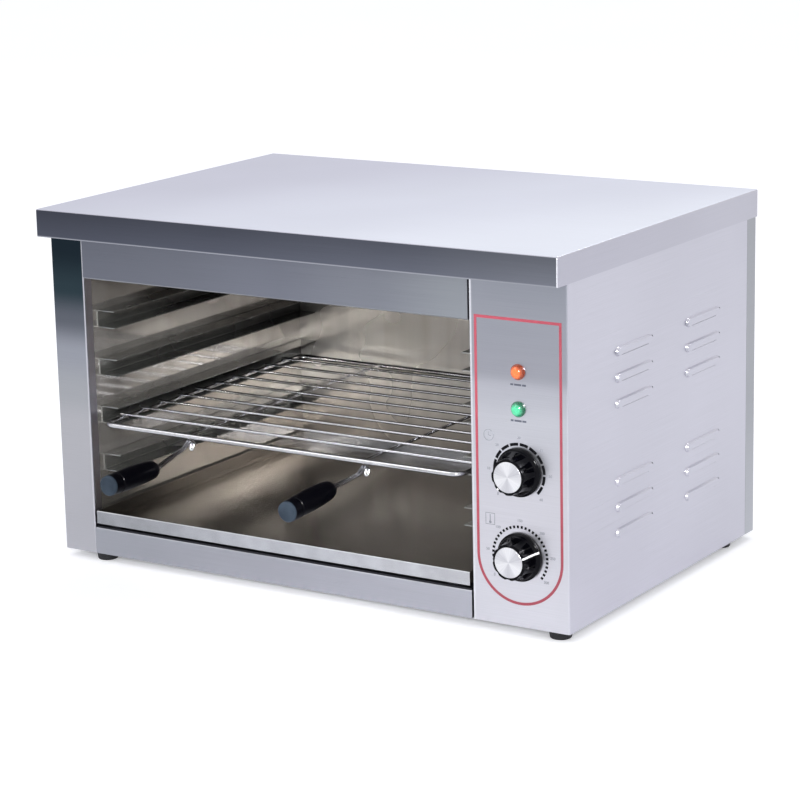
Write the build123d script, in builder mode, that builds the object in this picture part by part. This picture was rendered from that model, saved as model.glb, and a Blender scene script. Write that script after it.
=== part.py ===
from build123d import *
from math import cos, radians, sin, tan
import os

# Countertop electric cheese melter. Millimetres. Origin: centre of the lid's plan,
# on the plane that the feet stand on. +X to the right, +Y to the back, +Z up.

# ---------------------------------------------------------------- shell sizes
lid_width = 580.0
lid_depth = 402.0
lid_drop = 27.0
lid_hem = 9.0
total_height = 355.0
sheet = 1.0
bend = 2.0  # outer radius of a bent sheet edge
fit_gap = 0.2
front_overhang = 19.0
foot_height = 8.0
post_width = 38.8
control_width = 100.8
return_depth = 12.0
rail_height = 27.0
rail_shelf = 17.0
fascia_height = 67.5
fascia_shelf = 14.0
seam_gap = 1.0
back_wrap = 20.0
wrap_gap = 0.3
base_flange = 15.0
angle_leg = 15.0
angle_drop = 10.0

# --------------------------------------------------------------- cavity sizes
back_gap = 12.8
lid_air = 13.0  # free height between the insulation and the lid's skin
runner_count = 4
runner_rise = 52.5  # underside of the lowest runner above the cavity floor
runner_clear = 34.8  # from the top of the highest runner up to the fascia
runner_height = 17.5
runner_width = 21.0
runner_setback = 20.0
runner_back_gap = 1.0

# ----------------------------------------------------------------- tray sizes
tray_runner_height = 2.7
tray_runner_width = 12.0
tray_runner_inset = 14.0
running_gap = 0.3
tray_side_gap = 3.0
tray_back_gap = 4.0
tray_height = 13.0
tray_ledge = 9.0
tray_ledge_rise = 2.0

# ----------------------------------------------------------------- rack sizes
frame_wire = 5.0
cross_wire = 3.0
weld_sink = 0.5
rack_side_gap = 14.0
rack_corner = 12.0
rack_level = 1  # runner that carries the rack, counted from 0 at the bottom
front_wire_inset = 4.5
cross_count = 10
cross_pitch = 31.1
cross_overhang = 3.0
handle_spread = 202.0
handle_wire = 2.8
handle_half_gap = 3.0  # half the spacing of the two legs in the grip
hook_half_gap = 1.6
handle_reach = 127.5
hook_play = 0.5
hook_drop = 9.5
hook_lead = 6.0
hook_bend = 2.2
touch_gap = 0.05
grip_length = 71.0
grip_diameter = 20.0
grip_socket = 48.0
grip_groove = 12.0
left_grip_hang = (18.9, 0.0)  # front end below the rack's wire, and rise to the back
right_grip_hang = (17.0, 3.5)

# ------------------------------------------------------------- control sizes
dial_height = 74.0  # centre of the lower dial above the counter
dial_pitch = 78.8
lamp_drop = 109.3  # amber lamp below the top of the panel
lamp_pitch = 33.9
skirt_diameter = 45.0
knob_reach = 21.0
knob_gap = 1.2
knob_face = 33.6
cap_diameter = 28.4
cap_recess = 0.6
half_turn = 180.0
quarter_turn = 90.0
timer_pointer = 230.0  # turn of the pointer from +X, seen from the front
thermostat_pointer = 19.5
cap_thickness = 1.0
flute_count = 8
flute_radius = 6.0
flute_floor = 15.6
shaft_diameter = 6.0
shaft_flat = 0.8
shaft_play = 0.05
shaft_depth = 21.0
bushing_diameter = 9.6
bushing_length = 5.5
hole_play = 0.2
control_nut = 14.0
control_nut_height = 2.0
timer_size = (42.0, 30.0, 42.0)
thermostat_size = (36.0, 24.0, 46.0)
blade = (6.3, 8.0, 0.8)
lens_diameter = 14.4
lens_rim = 1.2
lens_step = 0.6
lens_dome = 5.0
lamp_neck = 11.6
lamp_neck_length = 6.0
lamp_body = 10.8
lamp_body_length = 28.0
lamp_blade = 4.8
lamp_nut = 16.0
lamp_nut_height = 2.6
outline_margin = 5.6
outline_edge = 6.1
outline_line = 2.6
outline_film = 0.15
outline_drop = 61.0
outline_rise = 20.6

# ------------------------------------------------------------- louvre sizes
louvre_length = 70.0
louvre_height = 9.0
louvre_rise = 2.2
louvre_slope = 28.0
louvre_pitch = 24.3
louvre_rows = 3
louvre_front = -94.0
louvre_column_pitch = 140.6
louvre_drop = 104.2  # highest louvre below the top of the side
louvre_bank_pitch = 121.4
louvre_slit = 1.2
relief_hole = 3.2

# ------------------------------------------------------ heating and wiring
element_diameter = 8.0
element_pitch = 75.0
element_drop = 15.0  # element centre line below the ceiling
element_end_gap = 30.0
element_tail = 24.0
insulator_diameter = 14.0
insulator_length = 8.0
pin_diameter = 3.0
pin_length = 12.0
support_thickness = 1.5
support_drop = 23.0
support_spread = 210.0
insulation_thickness = 30.0
bulb_diameter = 6.0
bulb_length = 80.0
bulb_offset = 9.0
capillary = 2.0
clip_width = 8.0
block_size = (60.0, 22.0, 18.0)
block_back_gap = 68.0
wire = 2.8
lead_run = 24.0
lead_bend = 20.0
stud_diameter = 5.0
stud_height = 15.0
stud_nut = 8.0
gland_height = 48.0
gland_collar = 22.0
gland_collar_length = 7.0
gland_dome = 19.0
gland_dome_length = 7.0
gland_neck = 15.8
gland_neck_length = 9.0
gland_bore = 9.0
gland_nut = 22.0
gland_nut_height = 3.0

# --------------------------------------------------------- feet and fasteners
foot_diameter = 22.0
foot_taper = 1.0
foot_round = 1.5
foot_front = 13.0  # centre of a front foot behind the front plane
foot_back = 43.0
foot_left = 43.0
foot_right = 16.5
foot_screw = 4.0
foot_screw_head = 8.4
foot_screw_sink = 4.0
screw_diameter = 4.0
screw_head = 7.2
screw_head_height = 2.0
screw_length = 8.0
screw_play = 0.1
screw_side_inset = 9.0
lid_screw_pitch = 200.0
base_screw_pitch = 150.0
vent_slot = (60.0, 4.0)
vent_pitch = 12.0
vent_rows = 7

# ------------------------------------------------------------ derived places
x_left = -(lid_width / 2 - sheet - fit_gap)
x_right = -x_left
y_front = -lid_depth / 2 + front_overhang
y_back = lid_depth / 2 - sheet - fit_gap
y_skin = y_back - sheet  # inner face of the back panel
z_low = foot_height
z_high = total_height - sheet - fit_gap
base_top = z_low + sheet
open_left = x_left + post_width
open_right = x_right - control_width
open_middle = (open_left + open_right) / 2
control_middle = (open_right + x_right) / 2
thermostat_height = dial_height
timer_height = dial_height + dial_pitch
amber_height = z_high - lamp_drop
green_height = amber_height - lamp_pitch
rail_top = z_low + rail_height
floor_top = rail_top + sheet
ceiling = z_high - lid_air - insulation_thickness + fit_gap
wall_left = open_left - sheet  # inner face of the cavity's left wall
wall_right = open_right + sheet
cavity_back = y_back - back_gap
fascia_low = z_high - fascia_height
runner_first = floor_top + runner_rise
runner_pitch = (fascia_low - runner_clear - runner_height - runner_first) / (
    runner_count - 1
)
rack_width = open_right - open_left - 2 * rack_side_gap
ledge_top = runner_first + rack_level * runner_pitch + sheet
rack_z = ledge_top + frame_wire / 2 + running_gap
rack_front = y_front + front_wire_inset
rack_back = rack_front + cross_pitch * (cross_count + 1)
cross_z = rack_z + frame_wire / 2 + cross_wire / 2 - weld_sink
long_z = cross_z - cross_wire + weld_sink
rod_z = rack_z - frame_wire / 2 - handle_wire / 2 - hook_play
element_z = ceiling - element_drop
element_rows = [
    (y_front + cavity_back) / 2 + element_pitch * step for step in (-1.5, -0.5, 0.5, 1.5)
]
element_right = wall_right + element_tail
tray_low = floor_top + tray_runner_height + running_gap
tray_left = open_left + tray_side_gap
tray_right = open_right - tray_side_gap
tray_end = cavity_back - tray_back_gap
knob_back = y_front - knob_gap
knob_front = y_front - knob_reach
shaft_back = y_front + sheet + shaft_depth
angle_base = z_low + base_flange
angle_top = z_high - angle_drop
angle_screw_heights = [
    angle_base + (angle_top - lid_drop - angle_base) * share for share in (0.08, 0.5, 0.92)
]
foot_places = {
    "foot_front_left": (x_left + foot_left, y_front + foot_front),
    "foot_front_right": (x_right - foot_right, y_front + foot_front),
    "foot_rear_left": (x_left + foot_left, y_back - foot_back),
    "foot_rear_right": (x_right - foot_right, y_back - foot_back),
}
angle_screws = [
    (side * (x_right - sheet - screw_side_inset), height)
    for side in (-1, 1)
    for height in angle_screw_heights
]
base_screws = [(base_screw_pitch * step, z_low + base_flange / 2) for step in (-1, 0, 1)]
lid_screws = [
    (lid_screw_pitch * step, total_height - lid_drop / 2) for step in (-1, 0, 1)
]
outline_top = z_high - outline_drop
outline_bottom = z_low + outline_rise
nodes = {}


# ------------------------------------------------------------------- helpers
def block(x, y, z, mode=Mode.ADD):
    """Box between the low and high value on each axis, in the current part."""
    centre = ((x[0] + x[1]) / 2, (y[0] + y[1]) / 2, (z[0] + z[1]) / 2)
    with Locations(centre):
        Box(x[1] - x[0], y[1] - y[0], z[1] - z[0], mode=mode)


def rod_y(x, z, radius, y, mode=Mode.ADD):
    """Cylinder along Y between two Y values, in the current part."""
    with Locations((x, (y[0] + y[1]) / 2, z)):
        Cylinder(radius, y[1] - y[0], rotation=(90, 0, 0), mode=mode)


def rod_x(y, z, radius, x, mode=Mode.ADD):
    """Cylinder along X between two X values, in the current part."""
    with Locations(((x[0] + x[1]) / 2, y, z)):
        Cylinder(radius, x[1] - x[0], rotation=(0, 90, 0), mode=mode)


def rod_z_axis(x, y, radius, z, mode=Mode.ADD):
    """Cylinder along Z between two Z values, in the current part."""
    with Locations((x, y, (z[0] + z[1]) / 2)):
        Cylinder(radius, z[1] - z[0], mode=mode)


def bent_sheet(plane, points, side):
    """Section of a bent sheet: its outer line, thickened by one sheet to a side."""
    with BuildSketch(plane) as section:
        with BuildLine():
            FilletPolyline(*points, radius=bend)
            offset(amount=sheet, side=side)
        make_face()
    return section.sketch


def hexagon(plane, across_flats, bore):
    """Section of a nut: a hexagon with a round bore."""
    with BuildSketch(plane) as section:
        RegularPolygon(across_flats / 2, 6, major_radius=False)
        Circle(bore / 2, mode=Mode.SUBTRACT)
    return section.sketch


def facing_front(x, y, z):
    """Plane at a point, its normal towards the front."""
    return Plane(origin=(x, y, z), x_dir=(1, 0, 0), z_dir=(0, -1, 0))


def d_section(plane, radius, flat):
    """Round section with one flat on top."""
    with BuildSketch(plane) as section:
        Circle(radius)
        with Locations((0, 2 * radius - flat)):
            Rectangle(2 * radius, 2 * radius, mode=Mode.SUBTRACT)
    return section.sketch


# --------------------------------------------------------------- outer shell
def make_lid():
    """Top cover: a folded pan, open below, with a hem along its front lip."""
    with BuildPart() as lid:
        half_x = lid_width / 2
        half_y = lid_depth / 2
        lip_low = total_height - lid_drop
        block((-half_x, half_x), (-half_y, half_y), (lip_low, total_height))
        fillet(lid.edges().filter_by(Axis.Z), bend)
        fillet(lid.edges().group_by(Axis.Z)[-1], bend * 0.75)
        offset(amount=-sheet, openings=lid.faces().sort_by(Axis.Z)[0])
        block(
            (-half_x + bend, half_x - bend),
            (-half_y + sheet, -half_y + sheet + lid_hem),
            (lip_low, lip_low + sheet),
        )
        for x, z in lid_screws:
            hole = screw_diameter / 2 + screw_play
            rod_y(x, z, hole, (half_y - 2 * sheet, half_y + sheet), Mode.SUBTRACT)
    nodes["lid"] = lid


def make_left_panel():
    """Left side and front post, one sheet bent round the corner."""
    points = [
        (open_left, y_front + return_depth),
        (open_left, y_front),
        (x_left, y_front),
        (x_left, y_back - back_wrap - wrap_gap),
    ]
    with BuildPart() as left_side_panel:
        extrude(bent_sheet(Plane.XY.offset(z_low), points, Side.RIGHT), z_high - z_low)
        block(
            (open_left - bend - sheet, open_left + sheet),
            (y_front + sheet, y_front + return_depth + sheet),
            (z_low, base_top),
            Mode.SUBTRACT,
        )
    nodes["left_side_panel"] = left_side_panel


def add_louvre(y, z):
    """Pressed hood on the right side, open downwards, with a round relief hole."""
    middle = y + louvre_length / 2
    face = Plane(origin=(x_right, middle, z), x_dir=(0, 1, 0), z_dir=(1, 0, 0))
    core = Plane(origin=(x_right - sheet, middle, z), x_dir=(0, 1, 0), z_dir=(1, 0, 0))
    with BuildSketch(face) as outer:
        SlotOverall(louvre_length, louvre_height)
    extrude(outer.sketch, louvre_rise, taper=louvre_slope)
    with BuildSketch(core) as inner:
        SlotOverall(louvre_length - 2 * sheet, louvre_height - 2 * sheet)
    extrude(inner.sketch, louvre_rise, taper=louvre_slope, mode=Mode.SUBTRACT)
    low = z - louvre_height / 2
    block(
        (x_right - 2 * sheet, x_right + louvre_rise + sheet),
        (y + louvre_height, y + louvre_length - louvre_height),
        (low + fit_gap, low + fit_gap + louvre_slit),
        Mode.SUBTRACT,
    )
    rod_x(
        y + louvre_length + relief_hole / 2,
        z + sheet,
        relief_hole / 2,
        (x_right - 2 * sheet, x_right + sheet),
        Mode.SUBTRACT,
    )


def make_control_panel():
    """Control front and right side, one sheet bent round the corner."""
    points = [
        (open_right, y_front + return_depth),
        (open_right, y_front),
        (x_right, y_front),
        (x_right, y_back - back_wrap - wrap_gap),
    ]
    through = (y_front - sheet, y_front + 2 * sheet)
    with BuildPart() as control_side_panel:
        extrude(bent_sheet(Plane.XY.offset(z_low), points, Side.LEFT), z_high - z_low)
        block(
            (open_right - sheet, open_right + bend + sheet),
            (y_front + sheet, y_front + return_depth + sheet),
            (z_low, base_top),
            Mode.SUBTRACT,
        )
        for height in (timer_height, thermostat_height):
            radius = bushing_diameter / 2 + hole_play
            rod_y(control_middle, height, radius, through, Mode.SUBTRACT)
        for height in (amber_height, green_height):
            radius = lamp_neck / 2 + hole_play
            rod_y(control_middle, height, radius, through, Mode.SUBTRACT)
        for column in range(2):
            for bank in range(2):
                for row in range(louvre_rows):
                    add_louvre(
                        louvre_front + column * louvre_column_pitch,
                        z_high - louvre_drop - bank * louvre_bank_pitch - row * louvre_pitch,
                    )
    nodes["control_side_panel"] = control_side_panel


def make_back_panel():
    """Back sheet that wraps a little way round both sides, with vent slots."""
    points = [
        (x_left, y_back - back_wrap),
        (x_left, y_back),
        (x_right, y_back),
        (x_right, y_back - back_wrap),
    ]
    through = (y_skin - sheet, y_back + sheet)
    with BuildPart() as back_panel:
        extrude(bent_sheet(Plane.XY.offset(z_low), points, Side.RIGHT), z_high - z_low)
        for height in (amber_height, timer_height - gland_height / 2):
            slots = facing_front(control_middle, y_back + sheet, height)
            with BuildSketch(slots) as vents:
                with GridLocations(0, vent_pitch, 1, vent_rows):
                    SlotOverall(*vent_slot)
            extrude(vents.sketch, 3 * sheet, mode=Mode.SUBTRACT)
        rod_y(
            control_middle,
            gland_height,
            gland_neck / 2 + hole_play / 2,
            through,
            Mode.SUBTRACT,
        )
        for x, z in angle_screws + base_screws + lid_screws:
            rod_y(x, z, screw_diameter / 2 + screw_play, through, Mode.SUBTRACT)
    nodes["back_panel"] = back_panel


def make_base_pan():
    """Bottom sheet with upturned flanges at the sides and the back."""
    inner = x_right - sheet
    with BuildPart() as base_pan:
        block((-inner, inner), (y_front + sheet, y_skin), (z_low, angle_base))
        fillet(base_pan.edges().filter_by(Axis.Z), bend)
        block(
            (-inner + sheet, inner - sheet),
            (y_front, y_skin - sheet),
            (base_top, angle_base),
            Mode.SUBTRACT,
        )
        for x, y in foot_places.values():
            radius = foot_screw / 2 + screw_play
            rod_z_axis(x, y, radius, (z_low - sheet, base_top + sheet), Mode.SUBTRACT)
        vent_plane = Plane.XY.offset(z_low - sheet)
        with BuildSketch(vent_plane) as vents:
            with Locations((control_middle, 0)):
                with GridLocations(0, vent_pitch, 1, vent_rows):
                    SlotOverall(*vent_slot)
        extrude(vents.sketch, 3 * sheet, mode=Mode.SUBTRACT)
        for x, z in base_screws:
            radius = screw_diameter / 2 + screw_play
            rod_y(x, z, radius, (y_skin - 2 * sheet, y_skin + sheet), Mode.SUBTRACT)
    nodes["base_pan"] = base_pan


def make_front_strips():
    """Fascia over the opening and rail under it."""
    left = open_left + fit_gap
    right = open_right - seam_gap
    fascia_points = [
        (y_front + fascia_shelf, fascia_low),
        (y_front, fascia_low),
        (y_front, z_high),
    ]
    rail_points = [
        (y_front + rail_shelf, rail_top),
        (y_front, rail_top),
        (y_front, z_low),
    ]
    with BuildPart() as front_fascia:
        extrude(bent_sheet(Plane.YZ.offset(left), fascia_points, Side.RIGHT), right - left)
        for edge in (left, right - sheet):
            block(
                (edge, edge + sheet),
                (y_front + sheet / 2, y_front + return_depth),
                (fascia_low + sheet / 2, z_high),
            )
    with BuildPart() as bottom_rail:
        extrude(bent_sheet(Plane.YZ.offset(left), rail_points, Side.LEFT), right - left)
        for edge in (left, right - sheet):
            block(
                (edge, edge + sheet),
                (y_front + sheet / 2, y_front + return_depth),
                (base_top, rail_top - sheet / 2),
            )
    nodes["front_fascia"] = front_fascia
    nodes["bottom_rail"] = bottom_rail


def make_corner_angles():
    """Two upright angles that tie the side sheets to the back sheet."""
    with BuildPart() as rear_corner_angles:
        for side, hand in ((-1, Side.RIGHT), (1, Side.LEFT)):
            corner = side * (x_right - sheet)
            points = [
                (corner, y_skin - back_wrap - angle_leg),
                (corner, y_skin),
                (corner - side * angle_leg, y_skin),
            ]
            profile = bent_sheet(Plane.XY.offset(angle_base), points, hand)
            extrude(profile, angle_top - angle_base)
        for x, z in angle_screws:
            radius = screw_diameter / 2 + screw_play
            rod_y(x, z, radius, (y_skin - 2 * sheet, y_skin + sheet), Mode.SUBTRACT)
    nodes["rear_corner_angles"] = rear_corner_angles


# -------------------------------------------------------------------- cavity
def make_cavity():
    """Five sheets that line the cooking space."""
    front = y_front + sheet
    wall_span = (y_front + bend, cavity_back)
    with BuildPart() as cavity_left_wall:
        block((wall_left - sheet, wall_left), wall_span, (base_top, ceiling))
    with BuildPart() as cavity_right_wall:
        block((wall_right, wall_right + sheet), wall_span, (base_top, ceiling))
        through = (wall_right - sheet, wall_right + 2 * sheet)
        for y in element_rows:
            radius = element_diameter / 2 + hole_play
            rod_x(y, element_z, radius, through, Mode.SUBTRACT)
        radius = capillary / 2 + hole_play
        rod_x(bulb_end(), bulb_height(), radius, through, Mode.SUBTRACT)
    with BuildPart() as cavity_back_wall:
        block(
            (wall_left - sheet, wall_right + sheet),
            (cavity_back, cavity_back + sheet),
            (base_top, ceiling),
        )
    with BuildPart() as cavity_ceiling:
        block((wall_left, wall_right), (front, cavity_back), (ceiling - sheet, ceiling))
        block((wall_left, wall_right), (front, front + sheet), (fascia_low + bend, ceiling))
        for step in (-1, 1):
            corner = open_left if step < 0 else open_right
            block(
                sorted((corner - step * fit_gap, corner + step * 2 * sheet)),
                (y_front, y_front + return_depth + fit_gap),
                (fascia_low, ceiling + sheet),
                Mode.SUBTRACT,
            )
            edge = open_left + fit_gap + sheet if step < 0 else open_right - seam_gap - sheet
            block(
                sorted((edge + step * 2 * sheet, edge - step * fit_gap)),
                (y_front, y_front + return_depth + fit_gap),
                (fascia_low, ceiling + sheet),
                Mode.SUBTRACT,
            )
    with BuildPart() as cavity_floor:
        legs = [
            (open_left, base_top),
            (open_left, floor_top),
            (open_right, floor_top),
            (open_right, base_top),
        ]
        shelf_back = y_front + rail_shelf + fit_gap
        plane = Plane.XZ.offset(-cavity_back)
        extrude(bent_sheet(plane, legs, Side.RIGHT), cavity_back - shelf_back)
        block(
            (open_left + bend, open_right - bend),
            (front, shelf_back + sheet),
            (rail_top, floor_top),
        )
    nodes["cavity_left_wall"] = cavity_left_wall
    nodes["cavity_right_wall"] = cavity_right_wall
    nodes["cavity_back_wall"] = cavity_back_wall
    nodes["cavity_ceiling"] = cavity_ceiling
    nodes["cavity_floor"] = cavity_floor


def make_runners():
    """Channel runners for the rack on both cavity walls, and strips for the tray."""
    back = cavity_back - runner_back_gap
    front = y_front + runner_setback
    with BuildPart() as left_runners:
        for level in range(runner_count):
            low = runner_first + level * runner_pitch
            points = [
                (wall_left + runner_width, low),
                (wall_left, low),
                (wall_left, low + runner_height),
                (wall_left + runner_width, low + runner_height),
            ]
            profile = bent_sheet(Plane.XZ.offset(-back), points, Side.RIGHT)
            extrude(profile, back - front)
    with BuildPart() as right_runners:
        mirror(left_runners.part, about=Plane.YZ.offset(open_middle))
    with BuildPart() as tray_runners:
        for near in (
            tray_left + tray_runner_inset,
            tray_right - tray_runner_inset - tray_runner_width,
        ):
            block(
                (near, near + tray_runner_width),
                (y_front + 2 * bend, tray_end),
                (floor_top, floor_top + tray_runner_height),
            )
    nodes["left_runners"] = left_runners
    nodes["right_runners"] = right_runners
    nodes["tray_runners"] = tray_runners


# ---------------------------------------------------------------------- tray
def make_crumb_tray():
    """Shallow tray with a front apron and a stepped ledge round its floor."""
    x_span = (tray_left, tray_right)
    y_span = (y_front, tray_end)
    step_top = tray_low + sheet + tray_ledge_rise
    top = tray_low + tray_height

    def inset(span, amount):
        return (span[0] + amount, span[1] - amount)

    with BuildPart() as crumb_tray:
        block(x_span, y_span, (step_top - sheet, top))
        block(inset(x_span, sheet), inset(y_span, sheet), (step_top, top), Mode.SUBTRACT)
        wall = tray_ledge - sheet
        block(inset(x_span, wall), inset(y_span, wall), (tray_low, step_top))
        block(
            inset(x_span, tray_ledge),
            inset(y_span, tray_ledge),
            (tray_low + sheet, step_top),
            Mode.SUBTRACT,
        )
        block(x_span, (y_front, y_front + sheet), (tray_low, top))
        fillet(
            crumb_tray.edges().filter_by(Axis.X).group_by(Axis.Y)[0].sort_by(Axis.Z)[-1],
            sheet * 0.45,
        )
    nodes["crumb_tray"] = crumb_tray


# ---------------------------------------------------------------------- rack
def make_wire_rack():
    """Welded wire shelf: a closed frame, two long wires and the cross wires."""
    left = open_middle - rack_width / 2
    right = open_middle + rack_width / 2
    corners = [(left, rack_front), (right, rack_front), (right, rack_back), (left, rack_back)]
    with BuildPart() as wire_rack:
        with BuildLine(Plane.XY.offset(rack_z)) as ring:
            FilletPolyline(*corners, radius=rack_corner, close=True)
        start = Plane(origin=ring.line @ 0, z_dir=ring.line % 0)
        with BuildSketch(start):
            Circle(frame_wire / 2)
        sweep(path=ring.wire())
        for step in range(cross_count):
            y = rack_front + cross_pitch * (step + 1)
            span = (left - cross_overhang, right + cross_overhang)
            rod_x(y, cross_z, cross_wire / 2, span)
        for side in (-1, 1):
            x = open_middle + side * handle_spread / 2
            rod_y(x, long_z, cross_wire / 2, (rack_front, rack_back))
    nodes["wire_rack"] = wire_rack


def make_handle(side, x, grip_drop, grip_tilt):
    """Drawing handle: a hairpin of wire hooked over the front wire's line, and its grip."""
    tilt = radians(grip_tilt)
    front_y = rack_front - handle_reach
    front_z = rack_z - grip_drop

    def on_axis(length):
        """Y and Z of a point on the grip's axis, this far behind its front end."""
        return front_y + length * cos(tilt), front_z + length * sin(tilt)

    tip_y, tip_z = on_axis(grip_length - grip_socket)
    exit_y, exit_z = on_axis(grip_length + hook_lead)
    neck = (rack_front - 1.5 * hook_lead, rod_z - hook_drop * 0.6)
    crest = (rack_front + sheet / 2, rod_z)
    heel = (rack_front + hook_lead, rod_z - hook_drop * 0.35)
    toe = (rack_front + hook_lead * 0.55, rod_z - hook_drop)
    near = hook_half_gap
    leg = [(handle_half_gap, tip_y, tip_z), (handle_half_gap * 0.8, exit_y, exit_z)]
    leg += [(near, *neck), (near, *crest), (near, *heel), (near, *toe)]
    points = [(x - out, y, z) for out, y, z in leg]
    points += [(x + out, y, z) for out, y, z in reversed(leg)]
    turn = near - touch_gap
    bends = [20.0, hook_bend, hook_bend, hook_bend, turn]
    with BuildPart() as handle:
        with BuildLine() as path:
            FilletPolyline(*points, radius=bends + bends[::-1])
        start = Plane(origin=path.line @ 0, z_dir=path.line % 0)
        with BuildSketch(start):
            Circle(handle_wire / 2)
        sweep(path=path.wire())
    front = (x, front_y, front_z)
    back_dir = (0, cos(tilt), sin(tilt))
    radial = Plane(origin=front, x_dir=(1, 0, 0), z_dir=(0, -sin(tilt), cos(tilt)))
    radius = grip_diameter / 2
    with BuildPart() as grip:
        with BuildSketch(radial) as profile:
            with BuildLine():
                Polyline(
                    (0, 0),
                    (radius * 0.88, 0),
                    (radius * 0.96, 1.0),
                    (radius, grip_groove),
                    (radius * 0.93, grip_groove + 0.6),
                    (radius * 0.93, grip_groove + 1.8),
                    (radius, grip_groove + 2.4),
                )
                Spline(
                    (radius, grip_groove + 2.4),
                    (radius * 1.03, grip_length * 0.5),
                    (radius * 0.94, grip_length * 0.85),
                    (radius * 0.62, grip_length),
                    tangents=((0.02, 1), (-1.6, 1)),
                )
                Polyline((radius * 0.62, grip_length), (0, grip_length), (0, 0))
            make_face()
        revolve(profile.sketch, axis=Axis(front, back_dir))
        deep = Plane(front, x_dir=(1, 0, 0), z_dir=back_dir).offset(grip_length - grip_socket)
        with BuildSketch(deep) as socket:
            SlotOverall(
                2 * handle_half_gap + handle_wire + 2 * touch_gap,
                handle_wire + 2 * touch_gap,
            )
        extrude(socket.sketch, grip_length, mode=Mode.SUBTRACT)
    nodes[f"handle_wire_{side}"] = handle
    nodes[f"handle_grip_{side}"] = grip


# ------------------------------------------------------------------ controls
def make_knob(name, height, body_size, pointer):
    """Skirted knob with its metal cap and shaft, and the control behind it."""
    x = control_middle
    face = facing_front(x, knob_back, height)
    length = knob_reach - knob_gap
    with BuildPart() as knob:
        with BuildSketch(Plane(face.origin, x_dir=(1, 0, 0), z_dir=(0, 0, 1))) as half:
            with BuildLine():
                Polyline(
                    (0, 0),
                    (skirt_diameter / 2, 0),
                    (skirt_diameter / 2, -1.4),
                )
                Spline(
                    (skirt_diameter / 2, -1.4),
                    (knob_face / 2 + 2.6, -5.2),
                    (knob_face / 2 + 0.9, -length * 0.55),
                    (knob_face / 2, -length + 0.5),
                    tangents=((-1, -0.25), (-0.06, -1)),
                )
                Polyline(
                    (knob_face / 2, -length + 0.5),
                    (knob_face / 2 - 0.5, -length),
                    (0, -length),
                    (0, 0),
                )
            make_face()
        revolve(half.sketch, axis=Axis((x, knob_back, height), (0, 1, 0)))
        flutes = facing_front(x, knob_back - 5.0, height)
        with BuildSketch(flutes) as scallops:
            with PolarLocations(
                flute_floor + flute_radius,
                flute_count,
                start_angle=pointer + half_turn / flute_count,
            ):
                Circle(flute_radius)
        extrude(scallops.sketch, length, mode=Mode.SUBTRACT)
        recess = facing_front(x, knob_front + cap_recess, height)
        with BuildSketch(recess) as seat:
            Circle(cap_diameter / 2 + touch_gap)
        extrude(seat.sketch, cap_recess + sheet, mode=Mode.SUBTRACT)
        with BuildSketch(face) as hollow:
            Circle(control_nut * 0.65)
        extrude(hollow.sketch, bushing_length, mode=Mode.SUBTRACT)
        bore = d_section(face, shaft_diameter / 2 + shaft_play, shaft_flat - shaft_play)
        extrude(bore, length - 4.0, mode=Mode.SUBTRACT)
    with BuildPart() as cap:
        with BuildSketch(recess) as disc:
            Circle(cap_diameter / 2)
        extrude(disc.sketch, cap_thickness)
        fillet(cap.edges().group_by(Axis.Y)[0], cap_thickness * 0.4)
    shaft_front = knob_back - (length - 4.0 - running_gap)
    with BuildPart() as shaft:
        section = d_section(
            facing_front(x, shaft_back, height), shaft_diameter / 2, shaft_flat
        )
        extrude(section, shaft_back - shaft_front)
    width, depth, tall = body_size
    rear = y_front + sheet
    with BuildPart() as control_body:
        block(
            (x - width / 2, x + width / 2),
            (rear, rear + depth),
            (height - tall / 2, height + tall / 2),
        )
        fillet(control_body.edges().filter_by(Axis.Y), bend)
        rod_y(x, height, bushing_diameter / 2, (y_front - bushing_length + 1, rear))
        for side in (-1, 1):
            block(
                (x + side * width / 4 - blade[0] / 2, x + side * width / 4 + blade[0] / 2),
                (rear + depth, rear + depth + blade[1]),
                (height - blade[2] / 2, height + blade[2] / 2),
            )
        bore_radius = shaft_diameter / 2 + shaft_play
        bore_span = (y_front - bushing_length, shaft_back + running_gap)
        rod_y(x, height, bore_radius, bore_span, Mode.SUBTRACT)
    nodes[f"{name}_knob"] = knob
    nodes[f"{name}_knob_cap"] = cap
    nodes[f"{name}_shaft"] = shaft
    nodes[f"{name}_body"] = control_body


def make_control_nuts():
    """Hexagon nuts that clamp the two controls to the panel."""
    with BuildPart() as control_nuts:
        for height in (timer_height, thermostat_height):
            plane = facing_front(control_middle, y_front, height)
            section = hexagon(plane, control_nut, bushing_diameter + 2 * touch_gap)
            extrude(section, control_nut_height)
    nodes["control_nuts"] = control_nuts


def make_lamp(name, height):
    """Pilot lamp's domed coloured lens, with its neck through the panel."""
    x = control_middle
    with BuildPart() as lens:
        rod_y(x, height, lens_diameter / 2, (y_front - lens_rim, y_front))
        rod_y(x, height, lamp_neck / 2, (y_front, y_front + lamp_neck_length))
        with BuildSketch(Plane(origin=(x, y_front - lens_rim, height))) as dome:
            with BuildLine():
                dome_radius = lens_diameter / 2 - lens_step
                Line((0, -lens_dome), (0, 0))
                Line((0, 0), (dome_radius, 0))
                EllipticalCenterArc((0, 0), dome_radius, lens_dome, -quarter_turn, arc_size=quarter_turn)
            make_face()
        revolve(dome.sketch, axis=Axis((x, y_front, height), (0, 1, 0)))
    nodes[f"{name}_lens"] = lens


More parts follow.
